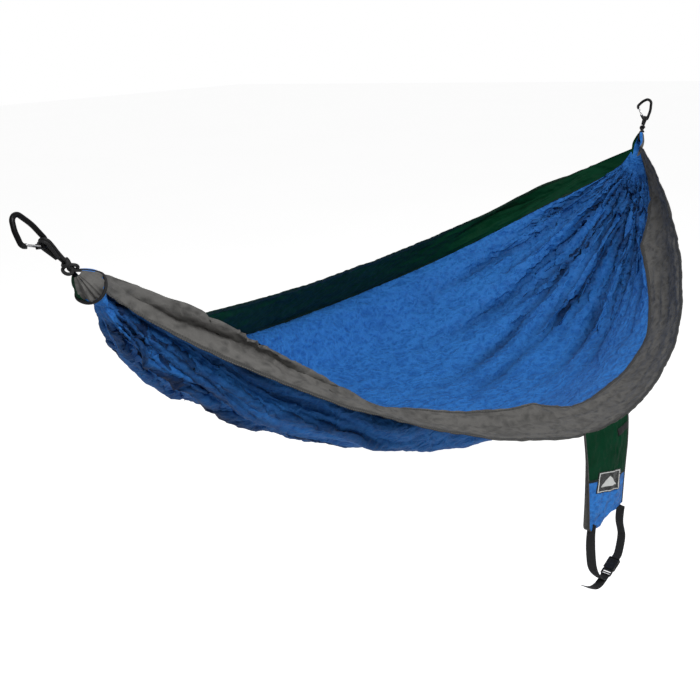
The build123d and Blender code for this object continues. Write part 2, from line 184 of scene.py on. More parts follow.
def braidGroup():
    group, start, end = newGroup("braidedSheath",
                                 [("Vector", "NodeSocketVector", (0, 0, 0)),
                                  ("Strands", "NodeSocketFloat", 8.0),
                                 ("Pitch", "NodeSocketFloat", 0.006)], [("Height", "NodeSocketFloat")])
    parts = addNode(group, "ShaderNodeSeparateXYZ", {0: start.outputs["Vector"]})
    around = calc(group, "MULTIPLY", parts.outputs["Y"],
                  calc(group, "MULTIPLY", start.outputs["Strands"], math.pi))
    along = calc(group, "DIVIDE", calc(group, "MULTIPLY", parts.outputs["X"], math.pi),
                 start.outputs["Pitch"])
    one = calc(group, "ABSOLUTE", calc(group, "SINE", calc(group, "ADD", around, along)))
    two = calc(group, "ABSOLUTE", calc(group, "SINE", calc(group, "SUBTRACT", around, along)))
    group.links.new(calc(group, "MAXIMUM", one, two), end.inputs["Height"])
    return group


crinkle = crinkleGroup()
weave = weaveGroup()
stitches = stitchGroup()
wear = wearGroup()
braid = braidGroup()

# materials


def startMaterial(name, **sockets):
    material = bpy.data.materials.new(name)
    material.use_nodes = True
    tree = material.node_tree
    shader = tree.nodes["Principled BSDF"]
    for key, value in sockets.items():
        shader.inputs[key.replace("_", " ")].default_value = value
    return material, tree, shader


def placeGroup(tree, group, inputs=None):
    return feed(tree, addNode(tree, "ShaderNodeGroup", node_tree=group), inputs or {})


# the last value sets how strongly the painted shade darkens the fold valleys
clothLook = dict(crinkleScale=82.0, crinkleSharp=0.8, crinkleDepth=0.0050, weaveDepth=0.00012,
                 roughness=0.55, sheen=0.03,
                 specular=0.14, paintedFoldShade=0.95)


def clothMaterial(name, colour, deep, light, roughness=None, sheen=None, crinkleScale=None, depth=None,
                  specular=None):
    look = clothLook
    material, tree, shader = startMaterial(
        name, Sheen_Weight=sheen or look["sheen"], Sheen_Roughness=0.45,
        Specular_IOR_Level=specular or look["specular"])
    coords = addNode(tree, "ShaderNodeTexCoord")
    folds = placeGroup(tree, crinkle,
                       {"Scale": crinkleScale or look["crinkleScale"], "Sharp": look["crinkleSharp"]})
    cloudy = addNode(tree, "ShaderNodeTexNoise",
                     {"Vector": coords.outputs["Object"], "Scale": 5.0, "Detail": 4.0})
    # painted highlight: the crinkle crests are lightened towards the light colour
    base = mixColour(tree, folds.outputs["crestHighlight"], colour, light)
    shade = calc(tree, "MULTIPLY", calc(tree, "SUBTRACT", cloudy.outputs["Fac"], 0.42), 1.5, clamp=True)
    base = mixColour(tree, calc(tree, "MULTIPLY", shade, 0.45), base, deep)
    # painted shade: where cloth lies face to face inside a fold, the fold valleys are darkened towards a
    # fifth of the deep colour, standing in for the shadow there
    paintedFoldShade = addNode(tree, "ShaderNodeAttribute", attribute_name="paintedFoldShade")
    base = mixColour(tree, calc(tree, "MULTIPLY", paintedFoldShade.outputs["Fac"], look["paintedFoldShade"], clamp=True), base,
                     tuple(0.22 * channel for channel in deep[:3]) + (1,))
    threads = placeGroup(tree, weave, {"Vector": coords.outputs["UV"], "Threads": 4200.0})
    tree.links.new(base, shader.inputs["Base Color"])
    rough = calc(tree, "ADD", calc(tree, "MULTIPLY", cloudy.outputs["Fac"], 0.14),
                 (roughness or look["roughness"]) - 0.07)
    tree.links.new(rough, shader.inputs["Roughness"])
    big = addNode(tree, "ShaderNodeBump", {"Strength": 0.85, "Distance": depth or look["crinkleDepth"],
                  "Height": folds.outputs["Height"]})
    small = addNode(tree, "ShaderNodeBump", {"Strength": 0.25, "Distance": look["weaveDepth"],
                    "Height": threads.outputs["Height"], "Normal": big.outputs["Normal"]})
    tree.links.new(small.outputs["Normal"], shader.inputs["Normal"])
    return material


def seamMaterial(name, colour, deep, thread, row=0.004, pitch=0.0048):
    material, tree, shader = startMaterial(name, Sheen_Weight=0.02, Sheen_Roughness=0.5,
                                           Specular_IOR_Level=0.2,
                                           Roughness=0.6)
    coords = addNode(tree, "ShaderNodeTexCoord")
    rowNode = placeGroup(tree, stitches, {"Vector": coords.outputs["UV"], "Row": row, "Pitch": pitch})
    speckle = addNode(tree, "ShaderNodeTexNoise",
                      {"Vector": coords.outputs["Object"], "Scale": 60.0, "Detail": 4.0})
    base = mixColour(tree, speckle.outputs["Fac"], deep, colour)
    base = mixColour(tree, rowNode.outputs["Thread"], base, thread)
    # painted shade: the needle holes between stitches are painted near black, standing in for the shadow
    # inside each hole
    base = mixColour(tree, calc(tree, "MULTIPLY", rowNode.outputs["needleHoleShade"], 0.7), base,
                     (0.004, 0.004, 0.004, 1))
    tree.links.new(base, shader.inputs["Base Color"])
    pucker = calc(tree, "ADD", speckle.outputs["Fac"],
                  calc(tree, "MULTIPLY", rowNode.outputs["Thread"], 0.6))
    bump = addNode(tree, "ShaderNodeBump", {"Strength": 0.7, "Distance": 0.0016, "Height": pucker})
    tree.links.new(bump.outputs["Normal"], shader.inputs["Normal"])
    return material


def cordMaterial():
    material, tree, shader = startMaterial("blackCord", Sheen_Weight=0.04, Sheen_Roughness=0.4,
                                           Specular_IOR_Level=0.3)
    coords = addNode(tree, "ShaderNodeTexCoord")
    sheath = placeGroup(tree, braid, {"Vector": coords.outputs["UV"]})
    # painted light and shade: the raised braid strands are lighter and the grooves between them darker
    base = mixColour(tree, sheath.outputs["Height"], (0.002, 0.002, 0.002, 1), (0.013, 0.013, 0.014, 1))
    tree.links.new(base, shader.inputs["Base Color"])
    tree.links.new(calc(tree, "SUBTRACT", 0.85, calc(tree, "MULTIPLY", sheath.outputs["Height"], 0.3)),
                   shader.inputs["Roughness"])
    bump = addNode(tree, "ShaderNodeBump",
                   {"Strength": 0.9, "Distance": 0.0007, "Height": sheath.outputs["Height"]})
    tree.links.new(bump.outputs["Normal"], shader.inputs["Normal"])
    return material


def webbingMaterial():
    material, tree, shader = startMaterial("blackWebbing", Sheen_Weight=0.05, Sheen_Roughness=0.4,
                                           Specular_IOR_Level=0.3)
    coords = addNode(tree, "ShaderNodeTexCoord")
    parts = addNode(tree, "ShaderNodeSeparateXYZ", {0: coords.outputs["UV"]})
    ribs = calc(tree, "ABSOLUTE",
                calc(tree, "SINE", calc(tree, "MULTIPLY", parts.outputs["Y"], math.pi / 0.0017)))
    picks = calc(tree, "ABSOLUTE",
                 calc(tree, "SINE", calc(tree, "MULTIPLY", parts.outputs["X"], math.pi / 0.0012)))
    height = calc(tree, "MULTIPLY", ribs, calc(tree, "ADD", 0.6, calc(tree, "MULTIPLY", picks, 0.4)))
    rowNode = placeGroup(tree, stitches,
                         {"Vector": coords.outputs["UV"], "Row": 0.0085, "Pitch": 0.004, "Thick": 0.0004})
    # painted light and shade: the rib tops are lighter and the grooves between ribs darker
    base = mixColour(tree, height, (0.003, 0.003, 0.003, 1), (0.024, 0.025, 0.027, 1))
    base = mixColour(tree, calc(tree, "MULTIPLY", rowNode.outputs["Thread"], 0.5), base,
                     (0.05, 0.05, 0.052, 1))
    tree.links.new(base, shader.inputs["Base Color"])
    tree.links.new(calc(tree, "SUBTRACT", 0.8, calc(tree, "MULTIPLY", height, 0.3)),
                   shader.inputs["Roughness"])
    bump = addNode(tree, "ShaderNodeBump", {"Strength": 0.9, "Distance": 0.0006, "Height": height})
    tree.links.new(bump.outputs["Normal"], shader.inputs["Normal"])
    return material


def hardMaterial(name, colour, worn, metallic, roughness, wearAmount, grain, grainDepth, coat=0.0):
    material, tree, shader = startMaterial(name, Metallic=metallic, Coat_Weight=coat, Coat_Roughness=0.25)
    coords = addNode(tree, "ShaderNodeTexCoord")
    marks = placeGroup(tree, wear, {"Amount": wearAmount, "Scale": 260.0})
    fine = addNode(tree, "ShaderNodeTexNoise",
                   {"Vector": coords.outputs["Object"], "Scale": grain, "Detail": 3.0})
    base = mixColour(tree, marks.outputs["Mask"], colour, worn)
    tree.links.new(base, shader.inputs["Base Color"])
    rough = calc(tree, "ADD", roughness - 0.08, calc(tree, "MULTIPLY", marks.outputs["Mottle"], 0.16))
    tree.links.new(rough, shader.inputs["Roughness"])
    bump = addNode(tree, "ShaderNodeBump",
                   {"Strength": 0.4, "Distance": grainDepth, "Height": fine.outputs["Fac"]})
    tree.links.new(bump.outputs["Normal"], shader.inputs["Normal"])
    return material


# third colour of each cloth: the painted highlight on the crinkle crests; the second colour, darkened, also
# gives the painted shade in the fold valleys
blueCloth = clothMaterial("blueNylon", (0.012, 0.105, 0.39, 1), (0.008, 0.060, 0.25, 1),
                          (0.030, 0.190, 0.58, 1))
greenCloth = clothMaterial("greenNylon", (0.0012, 0.030, 0.0115, 1), (0.0008, 0.017, 0.007, 1),
                           (0.0025, 0.040, 0.017, 1),
                           sheen=0.01, crinkleScale=30.0, depth=0.0012, specular=0.04)
greyCloth = clothMaterial("greyNylon", (0.066, 0.065, 0.063, 1), (0.042, 0.041, 0.040, 1),
                          (0.125, 0.122, 0.117, 1),
                          roughness=0.66, crinkleScale=60.0, depth=0.0032)
greenSeam = seamMaterial("greenHem", (0.0012, 0.024, 0.010, 1), (0.0006, 0.012, 0.006, 1),
                         (0.002, 0.04, 0.02, 1))
greySeam = seamMaterial("greyHem", (0.066, 0.065, 0.063, 1), (0.036, 0.036, 0.035, 1),
                        (0.12, 0.12, 0.115, 1))
blackCord = cordMaterial()
blackWebbing = webbingMaterial()
blackAlloy = hardMaterial("blackAnodised", (0.010, 0.010, 0.011, 1), (0.20, 0.20, 0.21, 1), 0.85, 0.38, 0.7,
                          900.0, 0.00004)
brightWire = hardMaterial("brightWire", (0.62, 0.62, 0.63, 1), (0.80, 0.80, 0.80, 1), 1.0, 0.25, 0.3,
                          1200.0, 0.00002)
blackPlastic = hardMaterial("blackAcetal", (0.009, 0.009, 0.0095, 1), (0.06, 0.06, 0.062, 1), 0.0, 0.42,
                            0.5, 1500.0, 0.00005)

# mesh helpers


def makeObject(name, verts, faces, material, body, uvs=None):
    mesh = bpy.data.meshes.new(name)
    mesh.from_pydata([tuple(v) for v in verts], [], faces)
    if uvs is not None:
        layer = mesh.uv_layers.new(name="flat")
        index = np.zeros(len(mesh.loops), np.int32)
        mesh.loops.foreach_get("vertex_index", index)
        layer.data.foreach_set("uv", np.asarray(uvs, float)[index].ravel())
    mesh.materials.append(material)
    mesh.shade_smooth()
    obj = bpy.data.objects.new(name, mesh)
    scene.collection.objects.link(obj)
    if body:
        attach(obj, body)
    return obj


def gridFaces(rows, cols, closeCols=False):
    faces = []
    span = cols if closeCols else cols - 1
    for i in range(rows - 1):
        for j in range(span):
            k = (j + 1) % cols
            faces.append((i * cols + j, i * cols + k, (i + 1) * cols + k, (i + 1) * cols + j))
    return faces


def closedFaces(rows, cols):
    # rings joined along their run, with both ends capped
    faces = gridFaces(rows, cols, True)
    faces.append(tuple(range(cols)))
    faces.append(tuple(range((rows - 1) * cols, rows * cols))[::-1])
    return faces


def runLengths(line):
    return np.concatenate([[0], np.cumsum(np.linalg.norm(np.diff(line, axis=0), axis=1))])


def roundOff(obj):
    modifier = obj.modifiers.new("round", "SUBSURF")
    modifier.levels = modifier.render_levels = 1


def nurbsLine(points, resolution=10):
    curve = bpy.data.curves.new("line", "CURVE")
    curve.dimensions = "3D"
    spline = curve.splines.new("NURBS")
    spline.points.add(len(points) - 1)
    for item, point in zip(spline.points, points):
        item.co = (*point, 1.0)
    spline.order_u = 3
    spline.use_endpoint_u = True
    spline.resolution_u = resolution
    obj = bpy.data.objects.new("line", curve)
    mesh = bpy.data.meshes.new_from_object(obj)
    line = np.array([v.co[:] for v in mesh.vertices])
    bpy.data.objects.remove(obj)
    bpy.data.curves.remove(curve)
    bpy.data.meshes.remove(mesh)
    return line


def sweepFrames(line):
    runs = np.diff(line, axis=0)
    tangents = np.vstack([runs[:1], (runs[:-1] + runs[1:]) / 2, runs[-1:]])
    tangents /= np.linalg.norm(tangents, axis=1)[:, None]
    side = np.cross(tangents[0], (0.31, 0.52, 0.79))
    side /= np.linalg.norm(side)
    sides = []
    for tangent in tangents:
        side = side - tangent * side.dot(tangent)
        side /= np.linalg.norm(side)
        sides.append(side.copy())
    sides = np.array(sides)
    return sides, np.cross(tangents, sides), runLengths(line)


def makeCordTube(name, points, radius, body, sides=18, resolution=10):
    line = nurbsLine(points, resolution)
    right, up, lengths = sweepFrames(line)
    angles = np.linspace(0, 2 * math.pi, sides + 1)
    verts, uvs = [], []
    for at, r, u, run in zip(line, right, up, lengths):
        for angle in angles:
            verts.append(at + radius * (math.cos(angle) * r + math.sin(angle) * u))
            uvs.append((run, angle / (2 * math.pi)))
    cols = sides + 1
    faces = gridFaces(len(line), cols)
    for end, order in ((0, 1), (len(line) - 1, -1)):
        faces.append(tuple(range(end * cols, end * cols + sides))[::-order])
    return makeObject(name, verts, faces, blackCord, body, uvs)


# the hanging cloth

cloth = dict(
    span=2.287, gatherRadius=0.018, channelReach=0.024, ringFade=30,
    footRise=48.6, headRise=58.0, trimWidth=0.165, gatheredTrimShare=0.13,
    flatLength=2.84, flatWidth=1.40, rows=200, trimColumns=14, centreColumns=92, farTrimWidth=0.150,
    settleFrames=26, stray=0.030, hemSag=0.014, footCord=0.104, headCord=0.072)

clothLines = {
    "farHem": dict(reach=0.410, foot=0.79, head=0.31, lean=0.89, drop=0.277, dropFoot=0.47, dropHead=0.37,
                   dropLean=1.04, ring=25),
    "farSeam": dict(reach=0.517, foot=0.92, head=0.62, lean=0.97, drop=0.398, dropFoot=0.66, dropHead=0.47,
                    dropLean=0.92, ring=-5),
    "farBelly": dict(reach=0.372, foot=0.79, head=0.70, lean=1.0, drop=0.581, dropFoot=0.70, dropHead=0.62,
                     dropLean=1.0, ring=-45),
    "bottom": dict(reach=-0.059, foot=0.77, head=0.90, lean=1.0, drop=0.653, dropFoot=0.74, dropHead=0.52,
                   dropLean=1.0, ring=-90),
    "nearBelly": dict(reach=-0.268, foot=1.09, head=0.94, lean=0.93, drop=0.576, dropFoot=0.61,
                      dropHead=0.51, dropLean=1.0, ring=-140),
    "nearHem": dict(reach=-0.474, foot=1.19, head=0.83, lean=0.82, drop=0.520, dropFoot=0.58, dropHead=0.97,
                    dropLean=1.32, ring=120)}
flapRise = [(0, 60), (0.05, 80), (0.1, 64), (0.15, 46), (0.2, 27), (0.26, 8), (0.42, 0), (0.5, -20),
            (0.6, -32),
            (0.75, -58), (0.9, -62), (1, -112)]
wallRise = [(0, -65), (0.05, -78), (0.12, -78), (0.2, -50), (0.26, 20), (0.42, 28), (0.5, 5), (0.6, -12),
            (0.75, -46),
            (0.9, -54), (1, -92)]
wallShare = [(0, 0.39), (0.1, 0.39), (0.2, 0.2), (0.3, 0.42), (1, 0.42)]

footLine = -Vector(joints["foot_carabiner_swing"]["pos_m"]).normalized()
footRod = Vector(joints["foot_carabiner_swing"]["pos_m"])
headRod = Vector(joints["head_carabiner_swing"]["pos_m"])
headLine = (mountAt["head_anchor"] - headRod).normalized()
footGather = footRod - footLine * cloth["footCord"]
headGather = headRod - headLine * cloth["headCord"]


def along(table, t):
    return np.interp(t, [row[0] for row in table], [row[1] for row in table])


def swell(t, foot, head, lean):
    place = t ** lean
    peak = foot / (foot + head)
    return (place / peak) ** foot * ((1 - place) / (1 - peak)) ** head


def linePoint(name, t):
    line = clothLines[name]
    ring = math.radians(line["ring"])
    side = line["reach"] * swell(t, line["foot"], line["head"], line["lean"])
    down = line["drop"] * swell(t, line["dropFoot"], line["dropHead"], line["dropLean"])
    dip = cloth["channelReach"] * (math.tan(math.radians(cloth["footRise"])) * (1 - t) ** cloth["ringFade"]
                                   + math.tan(math.radians(cloth["headRise"])) * t ** cloth["ringFade"])
    return np.array([cloth["gatherRadius"] * math.cos(ring) + side,
                     cloth["gatherRadius"] * math.sin(ring) - down - dip])


def heading(degrees):
    return np.array([math.cos(math.radians(degrees)), math.sin(math.radians(degrees))])


def spacedCurve(points, count):
    p = np.array([points[0] * 2 - points[1]] + list(points) + [points[-1] * 2 - points[-2]])
    dense = []
    for before, start, end, after in zip(p, p[1:], p[2:], p[3:]):
        for s in np.linspace(0, 1, 14, endpoint=False):
            dense.append((start * 2 + (end - before) * s
                          + (before * 2 - start * 5 + end * 4 - after) * s * s
                          + (start * 3 - before - end * 3 + after) * s ** 3) / 2)
    dense = np.array(dense + [p[-2]])
    lengths = runLengths(dense)
    places = np.linspace(0, lengths[-1], count)
    return np.stack([np.interp(places, lengths, dense[:, k]) for k in (0, 1)], axis=1), lengths[-1]


def clothRow(t):
    width = cloth["trimWidth"] * min(1, cloth["gatheredTrimShare"] + 1.2 * swell(t, 0.3, 0.3, 1))
    share = along(wallShare, t)
    hem = linePoint("nearHem", t)
    fold = hem + heading(along(flapRise, t)) * width * (1 - share)
    seam = fold + heading(along(wallRise, t)) * width * share
    farHem, farSeam = linePoint("farHem", t), linePoint("farSeam", t)
    middle, girth = spacedCurve([farSeam, linePoint("farBelly", t), linePoint("bottom", t),
                                 linePoint("nearBelly", t), seam],
                                cloth["centreColumns"] + 1)
    farBow = (farHem + farSeam) / 2 + np.array([0.010, -0.004]) * min(1, 4 * t * (1 - t))
    far, _ = spacedCurve([farHem, farBow, farSeam], cloth["trimColumns"] + 1)
    near, _ = spacedCurve([seam, fold, hem], cloth["trimColumns"] + 1)
    return np.vstack([far[:-1], middle, near[1:]]), girth


def clothGrid():
    count = cloth["rows"] + 1
    s = np.linspace(0, 1, count)
    ts = 0.35 * s + 0.65 * (1 - np.cos(math.pi * s)) / 2
    rows, girths = [], []
    for t in ts:
        row, girth = clothRow(float(t))
        rows.append(row)
        girths.append(girth)
    rows = np.array(rows)
    x = footGather.x + cloth["channelReach"] + (cloth["span"] - 2 * cloth["channelReach"]) * ts
    grid = np.concatenate([np.repeat(x[:, None, None], rows.shape[1], 1), rows], axis=2)
    grid[:, :, 2] += footGather.z
    return grid, ts, np.array(girths)


def gridNormals(grid):
    a = np.gradient(grid, axis=0)
    b = np.gradient(grid, axis=1)
    n = np.cross(a, b)
    n /= np.linalg.norm(n, axis=2)[:, :, None] + 1e-12
    return n


def wander(count, knots, seed):
    local = np.random.default_rng(seed)
    marks = local.uniform(-1, 1, knots)
    place = np.linspace(0, knots - 1, count)
    low = np.clip(np.floor(place).astype(int), 0, knots - 2)
    part = place - low
    part = part * part * (3 - 2 * part)
    return marks[low] * (1 - part) + marks[low + 1] * part


def addPleats(grid, ts, girths):
    normals = gridNormals(grid)
    columns = grid.shape[1]
    v = np.linspace(0, 1, columns)
    out = grid.copy()
    for end in (0, 1):
        distance = ts if end == 0 else 1 - ts
        for count, fade, strength, seed in ((15, 0.07, 1.0, 11), (9, 0.17, 0.9, 12), (5.5, 0.30, 0.7, 13)):
            phase = 2 * math.pi * count * (v + 0.018 * wander(columns, 17, seed + 20 * end)) + seed
            vary = 0.65 + 0.5 * wander(columns, 13, seed + 5 + 20 * end)
            waves = np.sin(phase) * vary
            waves = np.sign(waves) * np.abs(waves) ** 0.85
            rise = np.clip(distance / (0.25 * fade), 0, 1) * np.exp(-(distance / fade) ** 1.5)
            room = np.clip(girths / (2.6 * count), 0, 0.028)
            height = strength * rise * room
            out += normals * (height[:, None] * waves[None, :])[:, :, None]
    return out


def settle(grid):
    rows, columns = grid.shape[:2]
    verts = grid.reshape(-1, 3)
    faces = gridFaces(rows, columns)
    mesh = bpy.data.meshes.new("settling")
    mesh.from_pydata([tuple(v) for v in verts], [], faces)
    obj = bpy.data.objects.new("settling", mesh)
    scene.collection.objects.link(obj)
    obj.shape_key_add(name="Basis")
    rest = obj.shape_key_add(name="flat")
    steps = np.linalg.norm(np.diff(grid, axis=0), axis=2).mean(axis=1)
    run = np.concatenate([[0], np.cumsum(steps)])
    run *= cloth["flatLength"] * 0.99 / run[-1]
    cross = np.concatenate([np.full(cloth["trimColumns"], cloth["trimWidth"] / cloth["trimColumns"]),
                            np.full(cloth["centreColumns"],
                                    (cloth["flatWidth"] - 2 * cloth["trimWidth"]) / cloth["centreColumns"]),
                            np.full(cloth["trimColumns"], cloth["trimWidth"] / cloth["trimColumns"])])
    wide = np.concatenate([[0], np.cumsum(cross)])
    girth = np.linalg.norm(np.diff(grid, axis=1), axis=2).sum(axis=1)
    # the ends start only part gathered
    easing = np.minimum(1.0, (girth * 1.22 + 0.02) / cloth["flatWidth"])
    flat = np.zeros_like(grid)
    flat[:, :, 0] = run[:, None]
    flat[:, :, 1] = (wide[None, :] - cloth["flatWidth"] / 2) * easing[:, None]
    rest.data.foreach_set("co", flat.reshape(-1))
    hold = obj.vertex_groups.new(name="hold")
    strength = np.full((rows, columns), 0.05)
    middle = slice(cloth["trimColumns"], cloth["trimColumns"] + cloth["centreColumns"] + 1)
    strength[:, middle] = 0.025
    for column in (0, cloth["trimColumns"], cloth["trimColumns"] + cloth["centreColumns"], columns - 1):
        strength[:, column] = 0.45
    fold = cloth["trimColumns"] + cloth["centreColumns"] + cloth["trimColumns"] // 2
    strength[:, fold - 1:fold + 2] = 0.15
    strength[:2] = 1.0
    strength[-2:] = 1.0
    flatStrength = strength.ravel()
    for value in np.unique(flatStrength):
        hold.add([int(i) for i in np.nonzero(flatStrength == value)[0]], float(value), "REPLACE")
    modifier = obj.modifiers.new("settle", "CLOTH")
    s = modifier.settings
    s.quality = 5
    s.mass = 0.004
    s.tension_stiffness = 12
    s.compression_stiffness = 12
    s.shear_stiffness = 4
    s.bending_stiffness = 0.05
    s.tension_damping = 12
    s.compression_damping = 12
    s.shear_damping = 12
    s.bending_damping = 2
    s.air_damping = 4
    s.vertex_group_mass = "hold"
    s.pin_stiffness = 0.6
    s.rest_shape_key = rest
    s.effector_weights.gravity = 0.25
    modifier.collision_settings.use_collision = False
    modifier.point_cache.frame_start = 1
    modifier.point_cache.frame_end = cloth["settleFrames"] + 2
    for f in range(1, cloth["settleFrames"] + 1):
        scene.frame_set(f)
    done = obj.evaluated_get(bpy.context.evaluated_depsgraph_get())
    co = np.zeros(rows * columns * 3)
    done.data.vertices.foreach_get("co", co)
    result = co.reshape(rows, columns, 3)
    scene.frame_set(1)
    bpy.data.objects.remove(obj)
    delta = result - grid
    size = np.linalg.norm(delta, axis=2)[:, :, None] + 1e-9
    print("cloth moved", float(size.mean()), "most", float(size.max()))
    limit = cloth["stray"]
    return grid + delta / size * limit * np.tanh(size / limit)


def doubled(points):
    # a smooth value between every two rows
    padded = np.concatenate([points[:1] * 2 - points[1:2], points, points[-1:] * 2 - points[-2:-1]])
    out = np.empty((2 * len(points) - 1,) + points.shape[1:])
    out[::2] = points
    out[1::2] = (9 * (points[:-1] + points[1:]) - padded[:-3] - padded[3:]) / 16
    return out


# folds that run out from each gather: place across the bed from the far seam, how far they reach as a
# share of the length, half width and depth over half width; a minus sign makes a ridge seen from above
folds = dict(
    head=[(0.05, 0.20, 0.020, 0.7), (0.13, 0.34, 0.024, 0.9), (0.21, 0.22, 0.014, 0.8),
          (0.29, 0.40, 0.022, 1.1),
          (0.36, 0.27, 0.014, 1.1), (0.43, 0.47, 0.016, 1.4), (0.49, 0.30, 0.013, 1.1),
          (0.55, 0.44, 0.016, 1.5),
          (0.61, 0.26, 0.013, 1.2), (0.67, 0.36, 0.022, 1.3), (0.73, 0.24, 0.013, 1.0),
          (0.79, 0.32, 0.018, 1.3),
          (0.85, 0.22, 0.012, 1.0), (0.91, 0.30, 0.014, 1.1), (0.96, 0.20, 0.012, 0.9)],
    foot=[(0.08, 0.20, 0.020, 0.7), (0.20, 0.30, 0.018, 1.0), (0.33, 0.24, 0.018, -1.0),
          (0.44, 0.36, 0.020, 1.1),
          (0.53, 0.28, 0.014, -1.1), (0.60, 0.42, 0.018, 1.3), (0.67, 0.30, 0.014, -1.2),
          (0.74, 0.46, 0.016, 1.3),
          (0.80, 0.26, 0.012, -1.0), (0.85, 0.38, 0.014, 1.2), (0.90, 0.30, 0.012, -1.0),
          (0.95, 0.34, 0.014, 1.1)])


def addFolds(grid, ts, firstColumn, lastColumn):
    normals = gridNormals(grid)
    steps = np.linalg.norm(np.diff(grid, axis=1), axis=2)
    run = np.concatenate([np.zeros((len(grid), 1)), np.cumsum(steps, axis=1)], axis=1)
    run -= run[:, firstColumn:firstColumn + 1]
    girth = run[:, lastColumn:lastColumn + 1]
    shift, paintedFoldShade = np.zeros(grid.shape[:2]), np.zeros(grid.shape[:2])
    for end, rows in folds.items():
        distance = (ts if end == "foot" else 1 - ts)[:, None]
        for index, (place, reach, half, deep) in enumerate(rows):
            path = place + 0.016 * np.sin(13 * distance + 1.9 * index) + 0.004 * np.sin(60 * distance
                    + index)
            wide = np.minimum(half * (0.8 + 0.9 * distance / reach), 0.46 * girth / len(rows))
            fade = np.clip(distance / 0.010, 0, 1) * np.clip(1 - distance / reach, 0, 1) ** 0.8
            fade = fade * (0.85 + 0.25 * np.sin(31 * distance + 2.3 * index))
            shape = fade * np.exp(-np.abs(run - path * girth) / wide)
            shift += 1.35 * deep * wide * shape
            # painted shade map: how dark the colour is painted along each fold valley, read by the cloth
            # material
            narrow = fade * np.exp(-(np.abs(run - path * girth) / (0.75 * wide + 0.002)) ** 1.5)
            paintedFoldShade = np.maximum(paintedFoldShade, np.clip(abs(deep) * narrow, 0, 1))
    return grid + normals * shift[:, :, None], paintedFoldShade


# creases along the near trim: place across it from the seam, where along the bed they lie, depth
trimCreases = [(0.30, 0.04, 0.62, 0.0075), (0.55, 0.02, 0.36, 0.0085), (0.72, 0.30, 0.80, 0.006),
               (0.45, 0.50, 0.92, 0.006),
               (0.18, 0.10, 0.30, 0.005)]


def addTrimCreases(grid, ts, firstColumn):
    normals = gridNormals(grid)
    across = (np.arange(grid.shape[1]) - firstColumn) / (grid.shape[1] - 1 - firstColumn)
    shift = np.zeros(grid.shape[:2])
    for index, (place, start, stop, deep) in enumerate(trimCreases):
        middle = place + 0.05 * np.sin(9 * ts + index)
        inside = np.clip((ts - start) / 0.05, 0, 1) * np.clip((stop - ts) / 0.08, 0, 1)
        shift += deep * inside[:, None] * np.exp(-np.abs(across[None, :] - middle[:, None]) / 0.06)
    shift *= (across > 0)[None, :]
    return grid + normals * shift[:, :, None]


def addWrinkles(grid, ts):
    # shallow dents and slanting folds over the whole cloth
    normals = gridNormals(grid)
    rows, columns = grid.shape[:2]
    shift = np.zeros((rows, columns))
    calm = 0.35 + 0.65 * np.abs(2 * ts - 1) ** 1.2
    for i in range(rows):
        for j in range(columns):
            at = Vector(grid[i, j])
            wide = noise.noise(at * 9 + Vector((3.1, 0, 0))) * 0.0045
            long = noise.noise(Vector((at.x * 6, at.y * 24, at.z * 24))) * 0.0040
            fine = noise.noise(at * 34) * 0.0016 + noise.noise(at * 70) * 0.0009
            shift[i, j] = (wide + long) * calm[i] + fine
    return grid + normals * shift[:, :, None]


grid, gridT, girths = clothGrid()
grid = addPleats(grid, gridT, girths)
print("cloth shaped", grid.shape)
grid = settle(grid)
print("cloth settled")
grid = doubled(doubled(grid).transpose(1, 0, 2)).transpose(1, 0, 2)
gridT = doubled(gridT)
trimColumns, centreColumns = 2 * cloth["trimColumns"], 2 * cloth["centreColumns"]
grid, valleyShade = addFolds(grid, gridT, trimColumns, trimColumns + centreColumns)
grid = addTrimCreases(grid, gridT, trimColumns + centreColumns)
grid = addWrinkles(grid, gridT)
pull = np.exp(-((grid[:, :, 0] - joints["sack_swing"]["pos_m"][0] + 0.03) / 0.20) ** 2)
pull *= np.clip((np.arange(grid.shape[1]) - trimColumns - centreColumns) / trimColumns, 0, 1)[None,
        :] ** 1.5
grid[:, :, 2] -= cloth["hemSag"] * pull      # the sack's weight draws the hem down
print("cloth folded", grid.shape)


def flatPlaces(grid):
    wide, edge = cloth["flatWidth"], cloth["trimWidth"]
    cross = np.concatenate([np.linspace(0, edge, trimColumns + 1)[:-1],
                            np.linspace(edge, wide - edge, centreColumns + 1),
                            np.linspace(wide - edge, wide, trimColumns + 1)[1:]])
    return np.linspace(0, cloth["flatLength"], grid.shape[0]), cross


flatRun, flatCross = flatPlaces(grid)


def makePanel(name, node, first, last, material):
    part = grid[:, first:last + 1]
    uvs = [(u, v) for u in flatRun for v in flatCross[first:last + 1]]
    obj = makeObject(name, part.reshape(-1, 3), gridFaces(part.shape[0], part.shape[1]), material,
                     "hammock", uvs)
    # painted shade for the fold valleys, stored on the vertices for the cloth material
    shade = obj.data.attributes.new("paintedFoldShade", "FLOAT", "POINT")
    shade.data.foreach_set("value", valleyShade[:, first:last + 1].ravel().astype(np.float32))
    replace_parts(obj, node)
    return obj


seamFar = trimColumns
seamNear = trimColumns + centreColumns
lastColumn = grid.shape[1] - 1
farTrim = makePanel("farTrimCloth", "far_trim_panel", 0, seamFar, greenCloth)
centre = makePanel("centreCloth", "centre_panel", seamFar, seamNear, blueCloth)
nearTrim = makePanel("nearTrimCloth", "near_trim_panel", seamNear, lastColumn, greyCloth)

# bands sewn along the seams and hems
bandSize = dict(seamHalf=0.006, hemWide=0.013, proud=0.0011)


def columnPlace(column):
    low = int(np.clip(math.floor(column), 0, lastColumn - 1))
    part = column - low
    return grid[:, low] * (1 - part) + grid[:, low + 1] * part


